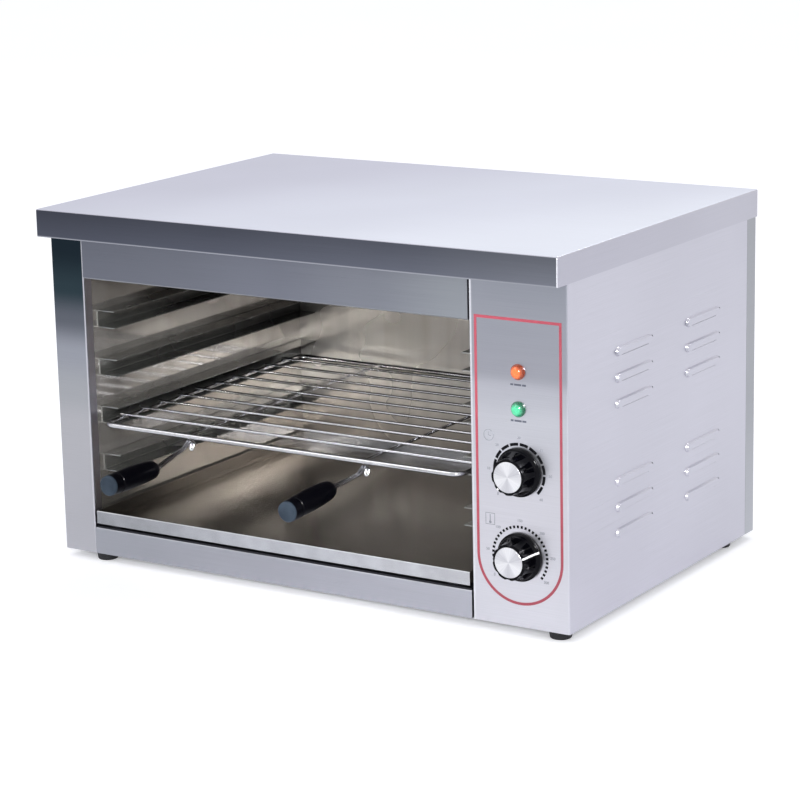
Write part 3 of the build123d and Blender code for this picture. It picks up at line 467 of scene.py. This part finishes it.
def ring_marks(centre, radius, width, turns, half, steps):
    """Outlines of short arcs round a centre, one about each turn."""
    return [arc_mark(centre, radius, width, turn - half, turn + half, steps) for turn in turns]


def round_mark(centre, radius, steps=16):
    """Outline of a dot."""
    return [turned(centre, radius, turn) for turn in even_turns(0.0, 360.0 / steps, steps)]


def bar_mark(centre, first, last, width):
    """Outline of a straight bar between two offsets from a centre."""
    middle, start, end = Vector(centre), Vector(first), Vector(last)
    run = (end - start).normalized() * width / 2
    side = Vector((-run.y, run.x))
    corners = (start + side, end + side, end - side, start - side)
    return [tuple(middle + corner) for corner in corners]


def numeral_marks(labels, size, film, name):
    """Numerals centred on panel points, as one thin mesh."""
    build = bmesh.new()
    for text, (u, w) in labels:
        curve = bpy.data.curves.new("numeral", "FONT")
        curve.body = text
        curve.size = size
        curve.align_x = "CENTER"
        curve.align_y = "CENTER"
        curve.extrude = film / 2
        glyph = placed("numeral", curve)
        bpy.context.view_layer.update()
        drawn = bpy.data.meshes.new_from_object(
            glyph.evaluated_get(bpy.context.evaluated_depsgraph_get())
        )
        bpy.data.objects.remove(glyph)
        bpy.data.curves.remove(curve)
        for vert in drawn.vertices:
            flat = vert.co.copy()
            vert.co = on_panel(u + flat.x, w + flat.y, film / 2 + flat.z)
        build.from_mesh(drawn)
        bpy.data.meshes.remove(drawn)
    return as_mesh(build, name)


# ---------------------------------------------------------------- operators
class MELTER_OT_shell(bpy.types.Operator):
    """Brushed steel on the lid, the side sheets, the front strips and the back, with painted
    reflection bands and painted highlights along edges.
    """

    bl_idname = "melter.shell"
    bl_label = "Shell steel"

    def execute(self, context):
        tone = context.scene.melter_steel
        self.lid(tone)
        self.post(tone)
        self.panel(tone)
        self.fascia(tone)
        self.rail(tone)
        self.back(tone)
        return {"FINISHED"}

    def lid(self, tone):
        """Pale upper face, dark front lip and grey side lips: these tones by face and their bands
        are painted reflection, with painted highlights along the lip's hem and down its right
        corner.
        """
        low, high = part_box("lid")
        mix = Paint("lid_steel")
        x, y, z = mix.spot()
        # Upper face lighter towards the right front corner: painted reflection.
        slant = mix.math("SUBTRACT", mix.math("MULTIPLY", x, 1.2), mix.math("MULTIPLY", y, 0.75))
        top = mix.span(slant, -0.3, 0.4, tone.lid_left, linear("cdd0e0"), tone.lid_right)
        # Front lip darker than the upper face and lighter to the right: painted reflection.
        between = linear("4f525d"), linear("5a5d68")
        lip = mix.span(x, low.x, high.x, tone.lip_left, *between, tone.lip_right)
        # Lip darker towards its top edge and lighter towards its hem: painted reflection.
        lip = mix.shaded(lip, mix.ramp(z, low.z, high.z, 1.25, 0.8))
        # Painted highlights: a bright line along the lip's hem and one down its right corner.
        lip = painted_highlight_line(mix, lip, z, low.z, 0.0014, linear("a2a4ad"))
        lip = painted_highlight_line(mix, lip, x, high.x - 0.0006, 0.0012, tone.edge)
        # Side and back lips, lighter than the front lip and towards the rear: painted reflection.
        side = mix.span(y, low.y, high.y, tone.lid_side, linear("c3c2cc"))
        colour = mix.blend(mix.facing(y=-1.0, soft=0.2), side, lip)
        colour = mix.blend(mix.facing(z=1.0, soft=0.2), colour, top)
        dress(sheet_steel(mix, colour, tone.grain_depth, 0.34), "lid")

    def side_tone_with_floor_reflection(self, mix, z, tone):
        """Side sheets, a little lighter near the counter: a painted reflection of the pale floor.
        """
        return mix.span(z, 0.0, SHEET_TOP, tone.side_low, tone.side, tone.side)

    def post(self, tone):
        """Left side sheet, whose front post darkens towards the lid as painted reflection, with a
        painted highlight along its edge beside the opening.
        """
        left_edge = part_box("front_fascia")[0].x
        mix = Paint("post_steel")
        x, y, z = mix.spot()
        # Front face bands by height: painted reflection, near black under the lid.
        front = mix.tones(
            mix.ramp(z, 0.0, SHEET_TOP),
            [
                (0.04, tone.post_low),
                (0.42, linear("b3b3b8")),
                (0.52, tone.post_middle),
                (0.64, linear("999ca5")),
                (0.74, linear("61656e")),
                (0.83, linear("2f3d44")),
                (0.95, tone.post_high),
            ],
        )
        # Painted highlight along the post's edge beside the opening.
        front = painted_highlight_line(mix, front, x, left_edge + 0.0006, 0.0022, tone.edge)
        colour = mix.blend(mix.facing(y=-1.0), self.side_tone_with_floor_reflection(mix, z, tone), front)
        dress(sheet_steel(mix, colour, tone.grain_depth), "left_side_panel")

    def panel(self, tone):
        """Control panel, pale below and grey above the lamps as painted reflection, with a painted
        highlight along its left edge, and its side sheet.
        """
        line_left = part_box("panel_outline")[0].x
        mix = Paint("panel_steel")
        x, y, z = mix.spot()
        # Front face bands by height: painted reflection.
        front = mix.tones(
            mix.ramp(z, 0.0, SHEET_TOP),
            [
                (0.04, linear("d9d9e0")),
                (0.36, tone.panel_low),
                (0.6, linear("cacbd2")),
                (0.68, linear("bebfc7")),
                (0.74, linear("a3a4ad")),
                (0.86, linear("a0a2ab")),
                (0.97, tone.panel_high),
            ],
        )
        # Painted highlight along the panel's left edge.
        front = painted_highlight_line(mix, front, x, line_left - 0.0048, 0.0028, tone.edge)
        colour = mix.blend(mix.facing(y=-1.0), self.side_tone_with_floor_reflection(mix, z, tone), front)
        dress(sheet_steel(mix, colour, tone.grain_depth), "control_side_panel")

    def fascia(self, tone):
        """Strip over the opening, lighter to the right and towards the bottom as painted
        reflection, with a painted highlight along its lower edge.
        """
        low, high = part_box("front_fascia")
        mix = Paint("fascia_steel")
        x, y, z = mix.spot()
        between = linear("6e717b"), linear("757883"), linear("81848d")
        # Lighter to the right and towards the bottom: painted reflection.
        front = mix.span(x, low.x, high.x, tone.fascia_left, *between, tone.fascia_right)
        front = mix.shaded(front, mix.ramp(z, low.z, high.z, 1.1, 0.9))
        # Painted highlight along the lower edge.
        front = painted_highlight_line(mix, front, z, low.z, 0.0016, linear("c0c2c8"))
        colour = mix.blend(mix.facing(y=-1.0), linear("b8b9bd"), front)
        dress(sheet_steel(mix, colour, tone.grain_depth), "front_fascia")

    def rail(self, tone):
        """Strip under the opening, lighter to the right as painted reflection; its other faces are
        dark as painted shade.
        """
        low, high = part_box("bottom_rail")
        mix = Paint("rail_steel")
        x = mix.spot()[0]
        # Lighter to the right: painted reflection.
        front = mix.span(x, low.x, high.x, tone.rail_left, linear("b1b2bb"), tone.rail_right)
        # Faces other than the front dark: painted shade in the gap above the rail.
        colour = mix.blend(mix.facing(y=-1.0), linear("3c3e46"), front)
        dress(sheet_steel(mix, colour, tone.grain_depth), "bottom_rail")

    def back(self, tone):
        """Plain sheet behind and below, lighter near the counter as a painted reflection of the
        pale floor.
        """
        mix = Paint("back_steel")
        z = mix.spot()[2]
        # Lighter near the counter: painted reflection of the floor.
        colour = mix.span(z, 0.0, SHEET_TOP, linear("bcbec4"), tone.back, tone.back)
        steel = sheet_steel(mix, colour, tone.grain_depth, 0.38)
        dress(steel, "back_panel", "base_pan", "rear_corner_angles")


class MELTER_OT_cavity(bpy.types.Operator):
    """Bright steel on the cooking space, its runners and the crumb tray, with painted shade towards
    the corners, the floor and the rear.
    """

    bl_idname = "melter.cavity"
    bl_label = "Cooking space"

    def execute(self, context):
        tone = context.scene.melter_steel
        low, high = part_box("crumb_tray")
        # Side walls darker towards the cavity floor and ceiling: painted shade.
        wall = upwards(linear("aea9a3"), tone.wall, tone.wall, linear("aaa6a2"))
        # Rear wall dark at its foot, brightest just above it and dimmer towards the top: painted
        # light and shade.
        back = upwards(linear("99928a"), linear("e9e4dd"), tone.rear, linear("cdc6be"))
        # Ceiling and element hangers darker towards the rear: painted shade.
        level = inwards(linear("b4aea7"), linear("a09a92"))
        # Floor under the tray and the tray runners dark: painted shade under the crumb tray.
        under = inwards(linear("34353b"), linear("55534f"))
        # Rack runners darker towards the rear: painted shade.
        runner = inwards(tone.runner, linear("6d6e6d"), linear("4e4f50"))

        def rear(mix, x, y, z):
            # Painted shadow: the rear wall darkens into its left corner.
            return mix.shaded(back(mix, x, y, z), mix.ramp(x, -0.25, -0.17, 0.55, 1.0))

        def tray(mix, x, y, z):
            floor = mix.span(y, low.y, high.y, tone.tray, linear("69635c"))
            # Tray front lighter to the right: painted reflection.
            front = mix.span(x, low.x, high.x, linear("9fa1a6"), tone.apron, linear("c3c4c9"))
            # Painted highlight along the tray front's top edge.
            front = painted_highlight_line(mix, front, z, high.z, 0.0012, linear("dfe1e4"))
            return mix.blend(mix.facing(y=-1.0), floor, front)

        dress(cavity_steel("cavity_wall_steel", wall, 0.1), "cavity_left_wall", "cavity_right_wall")
        dress(cavity_steel("cavity_rear_steel", rear, 0.26, metal=0.6), "cavity_back_wall")
        steel = cavity_steel("cavity_level_steel", level, 0.24, upright=False, metal=0.6)
        dress(steel, "cavity_ceiling", "element_hangers")
        steel = cavity_steel("under_tray_steel", under, 0.4, upright=False)
        dress(steel, "cavity_floor", "tray_runners")
        dress(cavity_steel("runner_steel", runner, 0.24), "left_runners", "right_runners")
        dress(cavity_steel("tray_steel", tray, 0.18, upright=False, metal=0.75), "crumb_tray")
        return {"FINISHED"}


class MELTER_OT_rack(bpy.types.Operator):
    """Polished wire on the rack and its two handle hairpins."""

    bl_idname = "melter.rack"
    bl_label = "Rack wire"

    def execute(self, context):
        dress(plain_metal("rack_wire_chrome", "c9c9cd", 0.13, 250.0, 0.1), "wire_rack")
        chrome = plain_metal("handle_wire_chrome", "d2d2d6", 0.12, 300.0, 0.1)
        dress(chrome, "handle_wire_left", "handle_wire_right")
        return {"FINISHED"}


class MELTER_OT_grips(bpy.types.Operator):
    """Black moulded handle grips with a bluish grey end."""

    bl_idname = "melter.grips"
    bl_label = "Handle grips"

    def execute(self, context):
        for grip in ("handle_grip_left", "handle_grip_right"):
            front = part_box(grip)[0].y
            mix = Paint(grip.replace("handle_grip", "grip_black"))
            share = mix.ramp(mix.spot()[1], front + 0.0022, front + 0.0034)
            cloud = clouds(mix, 60.0)
            end = mix.blend(mix.ramp(cloud, 0.3, 0.7), linear("2b333d"), linear("3b4550"))
            mix.bump(mix.noise(mix.place(), 420.0, 2.0, 0.5), 0.05, 0.0002)
            black = mix.surface(
                Base_Color=mix.blend(share, end, linear("050509")),
                Roughness=mix.ramp(cloud, 0.2, 0.8, 0.3, 0.42),
                Coat_Weight=0.05,
                Coat_Roughness=0.06,
                Specular_IOR_Level=0.03,
            )
            dress(black, grip)
        return {"FINISHED"}


class MELTER_OT_dials(bpy.types.Operator):
    """Black dials with spun caps and white pointer lines."""

    bl_idname = "melter.dials"
    bl_label = "Dials"

    def execute(self, context):
        black = moulding("dial_black", "050509", 0.16, 500.0, 0.02, coat=0.12, shine=0.05)
        dress(black, "timer_knob", "thermostat_knob")
        dress(plain_metal("shaft_steel", "9c9da2", 0.3), "timer_shaft", "thermostat_shaft")
        white = moulding("pointer_white", "f2f2f2", 0.45, 900.0, 0.03)
        settings = ("timer", TIMER_Z, TIMER_POINTER), ("thermostat", THERMO_Z, THERMO_POINTER)
        for dial, height, turn in settings:
            self.cap(dial, height)
            self.pointer(dial, height, turn, white)
        return {"FINISHED"}

    def cap(self, dial, height):
        """Spun metal with a painted reflection: wide light and dark sectors and narrow radial
        streaks run round the dial's axis.
        """
        mix = Paint(f"{dial}_cap_spun")
        x, y, z = mix.spot()
        right = mix.math("SUBTRACT", x, DIAL_X)
        up = mix.math("SUBTRACT", z, height)
        turn = mix.math("ARCTAN2", right, up)
        # Painted reflection: three wide light and dark sectors and narrow radial streaks round the
        # axis make the cap's colour; the bump by radius gives turned rings.
        reflection_lobes = mix.math("COSINE", mix.math("MULTIPLY", turn, 3.0))
        fine = mix.noise(mix.vector(mix.math("MULTIPLY", turn, 9.0)), 1.0, 3.0, 0.6)
        spread = mix.math("MULTIPLY", mix.reach(right, up), 4200.0)
        broad = mix.ramp(reflection_lobes, -1.0, 1.0, 0.0, 0.55)
        shade = mix.math("ADD", broad, mix.ramp(fine, 0.3, 0.7, 0.0, 0.45))
        mix.bump(mix.noise(mix.vector(spread), 1.0, 2.0, 0.6), 0.06, 0.0001)
        spun = mix.surface(
            Base_Color=mix.blend(shade, linear("c6c6cc"), linear("fafafc")),
            Metallic=1.0,
            Roughness=0.3,
            Anisotropic=0.7,
            Tangent=mix.node("ShaderNodeTangent", direction_type="RADIAL", axis="Y").outputs[0],
        )
        dress(spun, f"{dial}_knob_cap")

    def pointer(self, dial, height, turn, material):
        """A raised line down the dial's flank, from the cap's rim to the skirt's edge."""
        low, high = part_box(f"{dial}_knob")
        skirt = (high.x - low.x) / 2
        # Radius, and share of the dial's depth behind its front.
        flank = (
            (0.0150, -0.01),
            (0.0163, 0.0),
            (0.0168, 0.025),
            (0.0177, 0.45),
            (0.0194, 0.74),
            (skirt - 0.0002, 0.93),
        )
        angle = math.radians(turn)
        out = Vector((math.sin(angle), 0.0, math.cos(angle)))
        side = Vector((math.cos(angle), 0.0, -math.sin(angle))) * 0.0009
        lift = out * 0.00025 + Vector((0.0, -0.0002, 0.0))
        corners = (-side - lift, -side + lift, side + lift, side - lift)
        build = bmesh.new()
        rows = []
        for radius, share in flank:
            away = low.y + (high.y - low.y) * share
            point = Vector((DIAL_X, away, height)) + out * radius
            rows.append([build.verts.new(point + corner) for corner in corners])
        for first, second in zip(rows, rows[1:]):
            for i in range(len(corners)):
                build.faces.new((first[i - 1], first[i], second[i], second[i - 1]))
        build.faces.new(rows[0][::-1])
        build.faces.new(rows[-1])
        bmesh.ops.recalc_face_normals(build, faces=build.faces)
        mesh = as_mesh(build, f"{dial}_pointer")
        add_piece(f"{dial}_pointer", mesh, f"{dial}_dial", material)


class MELTER_OT_print(bpy.types.Operator):
    """Dial rings, numerals, symbols and bars printed on the control panel."""

    bl_idname = "melter.print"
    bl_label = "Panel print"

    def execute(self, context):
        ink = context.scene.melter_print
        self.outline(ink)
        black = flat_ink(
            "mark_black", 300.0, ink.ink, linear("0f0f14"), Roughness=0.7, Specular_IOR_Level=0.1
        )
        grey = flat_ink("mark_grey", 300.0, ink.grey, linear("9a9ca4"), Roughness=0.5)
        self.scales(ink, black)
        self.numerals(ink, grey)
        self.symbols(ink, grey)
        self.bars(ink)
        return {"FINISHED"}

    def outline(self, ink):
        """Red paint on the line round the controls."""
        mix = Paint("outline_red")
        light = [min(1.0, part * 1.12) for part in ink.red[:3]] + [1.0]
        tone = mix.blend(mix.ramp(clouds(mix, 120.0), 0.3, 0.7), ink.red, light)
        dress(mix.surface(Base_Color=tone, Roughness=0.5), "panel_outline")

    def scales(self, ink, black):
        """Dashes round the timer and dots round the thermostat."""
        turns = even_turns(*DASH_TURNS)
        dashes = ring_marks((DIAL_X, TIMER_Z), ink.timer_ring, 0.0027, turns, 9.4, 6)
        add_marks("timer_dashes", dashes, ink.film, black)
        turns = even_turns(*DOT_TURNS)
        dots = ring_marks((DIAL_X, THERMO_Z), ink.thermo_ring, 0.0025, turns, 2.2, 2)
        add_marks("thermostat_dots", dots, ink.film, black)

    def numerals(self, ink, grey):
        """Plain numbers outside both scales."""
        labels = []
        for i, turn in enumerate(even_turns(*TIMER_NUMERALS)):
            labels.append((str(10 * i), turned((DIAL_X, TIMER_Z), ink.timer_ring + 0.0062, turn)))
        for i, turn in enumerate(even_turns(*THERMO_NUMERALS)):
            labels.append((str(50 * i), turned((DIAL_X, THERMO_Z), ink.thermo_ring + 0.0058, turn)))
        mesh = numeral_marks(labels, ink.numeral, ink.film, "dial_numerals")
        add_piece("dial_numerals", mesh, "housing", grey)

    def symbols(self, ink, grey):
        """A clock by the timer and a framed thermometer by the thermostat."""
        marks = [
            arc_mark(CLOCK, 0.005, 0.0006, 0.0, 180.0, 16),
            arc_mark(CLOCK, 0.005, 0.0006, 180.0, 360.0, 16),
            bar_mark(CLOCK, (0.0, 0.0), (0.0, 0.0031), 0.0007),
            bar_mark(CLOCK, (0.0, 0.0), (0.0022, -0.0006), 0.0007),
            bar_mark(GAUGE, (0.0, -0.0030), (0.0, 0.0040), 0.0009),
            round_mark((GAUGE[0], GAUGE[1] - 0.0032), 0.0013),
        ]
        wide, tall, line = 0.0046, 0.0052, 0.0005
        for side in (-1, 1):
            marks.append(bar_mark(GAUGE, (side * wide, -tall), (side * wide, tall), line))
            ends = (-wide - 0.0002, side * tall), (wide + 0.0002, side * tall)
            marks.append(bar_mark(GAUGE, *ends, line))
        add_marks("panel_symbols", marks, ink.film, grey)

    def bars(self, ink):
        """Three short bars in a row under each lamp."""
        marks = [
            bar_mark((DIAL_X, middle), (first, 0.0), (last, 0.0), 0.0017)
            for middle in (AMBER_Z - 0.0118, GREEN_Z - 0.0108)
            for first, last in ((-0.0080, -0.0052), (-0.0042, 0.0030), (0.0040, 0.0078))
        ]
        faded = moulding("mark_faded", "5b5e69", 0.6, 300.0, 0.02, shine=0.1)
        add_marks("lamp_bars", marks, ink.film, faded)


class MELTER_OT_lamps(bpy.types.Operator):
    """Tinted pilot lenses, lighter in the middle and dark at the rim: painted shade of the domed
    lens.
    """

    bl_idname = "melter.lamps"
    bl_label = "Pilot lamps"

    def execute(self, context):
        tints = (
            ("amber", AMBER_Z, "ea6a2c", "7c2f10"),
            ("green", GREEN_Z, "45c08c", "12563c"),
        )
        for lamp, height, bright, dark in tints:
            mix = Paint(f"{lamp}_lens_tint")
            x, y, z = mix.spot()
            # Painted shade of the domed lens: dark towards the rim, round a lighter middle set a
            # little low and to the left.
            right = mix.math("SUBTRACT", x, DIAL_X - 0.0006)
            up = mix.math("SUBTRACT", z, height - 0.0006)
            cells = mix.ramp(mix.noise(mix.place(), 380.0, 2.0, 0.5), 0.3, 0.7, -0.0005, 0.0005)
            edge = mix.ramp(mix.math("ADD", mix.reach(right, up), cells), 0.0036, 0.0068)
            colour = mix.blend(edge, linear(bright), linear(dark))
            tint = mix.surface(
                Base_Color=colour,
                Emission_Color=colour,
                Emission_Strength=0.12,
                Roughness=0.18,
                Coat_Weight=0.8,
                Coat_Roughness=0.05,
            )
            dress(tint, f"{lamp}_lens")
        dress(moulding("lamp_white", "e4e2dc", 0.5), "lamp_bodies", "lamp_nuts")
        return {"FINISHED"}


class MELTER_OT_heating(bpy.types.Operator):
    """Heat-tinted element tubes, ceramic sleeves, the fibre slab and the sensing bulb."""

    bl_idname = "melter.heating"
    bl_label = "Heating parts"

    def execute(self, context):
        mix = Paint("element_tube")
        heat = mix.noise(mix.scaled(14.0, 14.0, 0.0), 1.0)
        stops = (0.3, linear("3c3836")), (0.5, linear("57504a")), (0.7, linear("6e5f55"))
        rough = mix.ramp(heat, 0.2, 0.8, 0.42, 0.6)
        mix.bump(mix.noise(mix.place(), 900.0, 3.0, 0.6), 0.12, 0.0002)
        tube = mix.surface(Base_Color=mix.tones(heat, stops), Metallic=0.9, Roughness=rough)
        dress(tube, "heating_element_front", "heating_element_rear")
        dress(moulding("ceramic_sleeve", "e9e6de", 0.55, 900.0, 0.1), "element_insulators")
        slab = Paint("fibre_slab")
        felt = slab.noise(slab.scaled(40.0, 260.0, 260.0), 1.0, 6.0, 0.7)
        colour = slab.blend(slab.ramp(felt, 0.3, 0.7), linear("b9b09a"), linear("e3dcc8"))
        slab.bump(felt, 0.6, 0.001)
        dress(slab.surface(Base_Color=colour, Roughness=0.95), "top_insulation")
        dress(plain_metal("bulb_copper", "b8714a", 0.3), "sensing_bulb")
        dress(plain_metal("clip_steel", "a4a5aa", 0.28), "bulb_clips", "element_pins")
        return {"FINISHED"}


class MELTER_OT_wiring(bpy.types.Operator):
    """Sleeved leads, control cases, the terminal block and the cable inlet."""

    bl_idname = "melter.wiring"
    bl_label = "Wiring"

    def execute(self, context):
        mix = Paint("lead_braid")
        weave = mix.node("ShaderNodeTexChecker", {"Vector": mix.place(), "Scale": 1400.0})
        fuzz = mix.noise(mix.place(), 700.0, 3.0, 0.6)
        share = mix.math("MULTIPLY", weave.outputs[1], mix.ramp(fuzz, 0.2, 0.8))
        colour = mix.blend(share, linear("d9d5c6"), linear("a9a593"))
        mix.bump(share, 0.3, 0.0003)
        dress(
            mix.surface(Base_Color=colour, Roughness=0.85),
            "lead_block_to_timer",
            "lead_timer_to_thermostat",
            "lead_thermostat_to_elements",
            "lead_elements_to_block",
            "lead_element_link",
        )
        dress(moulding("control_case", "d8d2c0", 0.5, 500.0, 0.08), "timer_body", "thermostat_body")
        dress(moulding("terminal_white", "e3e1da", 0.45), "terminal_block")
        dress(moulding("gland_black", "1b1b1e", 0.5, 500.0, 0.1), "cable_gland", "gland_lock_nut")
        dress(plain_metal("brass_parts", "b79a55", 0.32), "terminal_screws", "earth_stud")
        return {"FINISHED"}


class MELTER_OT_fasteners(bpy.types.Operator):
    """Rubber feet, and the screws and nuts."""

    bl_idname = "melter.fasteners"
    bl_label = "Feet and fasteners"

    def execute(self, context):
        rubber = moulding("foot_rubber", "15151a", 0.62, 900.0, 0.2)
        dress(rubber, "foot_front_left", "foot_front_right", "foot_rear_left", "foot_rear_right")
        steel = plain_metal("screw_steel", "a3a4a9", 0.28)
        dress(steel, "foot_screws", "panel_screws", "control_nuts")
        return {"FINISHED"}


class MELTER_OT_stage(bpy.types.Operator):
    """Pale floor, even room light, soft lamps and the camera."""

    bl_idname = "melter.stage"
    bl_label = "Studio"

    def execute(self, context):
        studio = context.scene.melter_studio
        self.floor(studio)
        self.room(context, studio)
        self.lamp("key_softbox", (-1.3, -1.9, 2.3), (0.0, 0.0, 0.15), 1.6, 14.0)
        self.lamp("side_softbox", (2.6, 0.3, 1.5), (0.2, 0.0, 0.15), 1.4, 7.0)
        self.lamp("rear_softbox", (0.3, 1.6, 2.2), (0.1, -0.1, 0.15), 0.22, 8.0)
        self.spot("fill_spot", (1.15, -1.95, 1.0), (-0.04, 0.0, 0.17), 15.0, 320.0)
        self.camera(context, studio)
        return {"FINISHED"}

    def floor(self, studio):
        """A wide level sheet under the object."""
        build = bmesh.new()
        bmesh.ops.create_grid(build, x_segments=8, y_segments=8, size=9.0)
        ground = placed("studio_floor", as_mesh(build, "studio_floor"))
        mix = Paint("floor_paper")
        paper = mix.surface(
            Base_Color=mix.blend(clouds(mix, 2.0), studio.floor, linear("f4f4f7")),
            Roughness=0.9,
            Specular_IOR_Level=0.1,
            Emission_Color=linear("ffffff"),
            Emission_Strength=mix.math("MULTIPLY", self.seen(mix, 0.35), studio.lift),
        )
        ground.data.materials.append(paper)

    def seen(self, mix, share=1.0):
        """1 for rays that show the background: from the camera, a mirror or glass."""
        path = mix.node("ShaderNodeLightPath").outputs
        mirrored = mix.math("MAXIMUM", path["Is Glossy Ray"], path["Is Transmission Ray"])
        return mix.math("MAXIMUM", path["Is Camera Ray"], mix.math("MULTIPLY", mirrored, share))

    def room(self, context, studio):
        """Even light from all round, slightly cool, behind a white background."""
        world = bpy.data.worlds.new("studio_room")
        context.scene.world = world
        world.use_nodes = True
        mix = Mix(world.node_tree)
        shown = self.seen(mix)
        sky = world.node_tree.nodes["Background"]
        mix.feed(sky.inputs[0], mix.blend(shown, (0.96, 0.975, 1.0, 1.0), linear("ffffff")))
        mix.feed(sky.inputs[1], mix.ramp(shown, 0.0, 1.0, studio.room, 1.0))

    def lamp(self, name, place, target, size, power):
        """A square soft lamp aimed at a point."""
        light = bpy.data.lights.new(name, "AREA")
        light.energy = power
        light.size = size
        self.hang(name, light, place, target)

    def spot(self, name, place, target, spread, power):
        """A soft-edged spot that lights the cooking space through its opening."""
        light = bpy.data.lights.new(name, "SPOT")
        light.energy = power
        light.spot_size = math.radians(spread)
        light.spot_blend = 0.6
        light.shadow_soft_size = 0.22
        self.hang(name, light, place, target)

    def hang(self, name, light, place, target):
        """Puts a light at a place, aimed at a point and unseen by the camera."""
        lamp = placed(name, light)
        lamp.location = place
        lamp.visible_camera = False
        aim = Vector(target) - Vector(place)
        lamp.rotation_euler = aim.to_track_quat("-Z", "Y").to_euler()

    def camera(self, context, studio):
        """Camera at the photograph's place and angle."""
        lens = bpy.data.cameras.new("studio_camera")
        lens.sensor_width = 36.0
        lens.lens = studio.lens
        lens.clip_end = 60.0
        camera = placed("studio_camera", lens)
        camera.location = CAMERA_PLACE
        camera.rotation_euler = [math.radians(turn) for turn in CAMERA_TURN]
        context.scene.camera = camera
        context.scene.view_settings.view_transform = "Standard"


STEPS = (
    "shell",
    "cavity",
    "rack",
    "grips",
    "dials",
    "print",
    "lamps",
    "heating",
    "wiring",
    "fasteners",
    "stage",
)


class MELTER_PT_sidebar(bpy.types.Panel):
    """Lists the finishes of the melter."""

    bl_idname = "MELTER_PT_sidebar"
    bl_label = "Cheese Melter"
    bl_space_type = "VIEW_3D"
    bl_region_type = "UI"
    bl_category = "Melter"

    def draw(self, context):
        column = self.layout.column(align=True)
        for step in STEPS:
            column.operator(f"melter.{step}")
        for settings in ("melter_steel", "melter_print", "melter_studio"):
            box = self.layout.box()
            group = getattr(context.scene, settings)
            for key in group.__annotations__:
                box.prop(group, key)


CLASSES = (
    MelterSteelSettings,
    MelterPrintSettings,
    MelterStudioSettings,
    MELTER_OT_shell,
    MELTER_OT_cavity,
    MELTER_OT_rack,
    MELTER_OT_grips,
    MELTER_OT_dials,
    MELTER_OT_print,
    MELTER_OT_lamps,
    MELTER_OT_heating,
    MELTER_OT_wiring,
    MELTER_OT_fasteners,
    MELTER_OT_stage,
    MELTER_PT_sidebar,
)


def register():
    """Adds the classes and the settings."""
    for item in CLASSES:
        bpy.utils.register_class(item)
    bpy.types.Scene.melter_steel = bpy.props.PointerProperty(type=MelterSteelSettings)
    bpy.types.Scene.melter_print = bpy.props.PointerProperty(type=MelterPrintSettings)
    bpy.types.Scene.melter_studio = bpy.props.PointerProperty(type=MelterStudioSettings)


def unregister():
    """Takes the settings and the classes out again."""
    del bpy.types.Scene.melter_studio
    del bpy.types.Scene.melter_print
    del bpy.types.Scene.melter_steel
    for item in reversed(CLASSES):
        bpy.utils.unregister_class(item)


def main():
    """Registers the add-on and dresses the model."""
    register()
    for step in STEPS:
        getattr(bpy.ops.melter, step)()


if __name__ == "__main__":
    main()
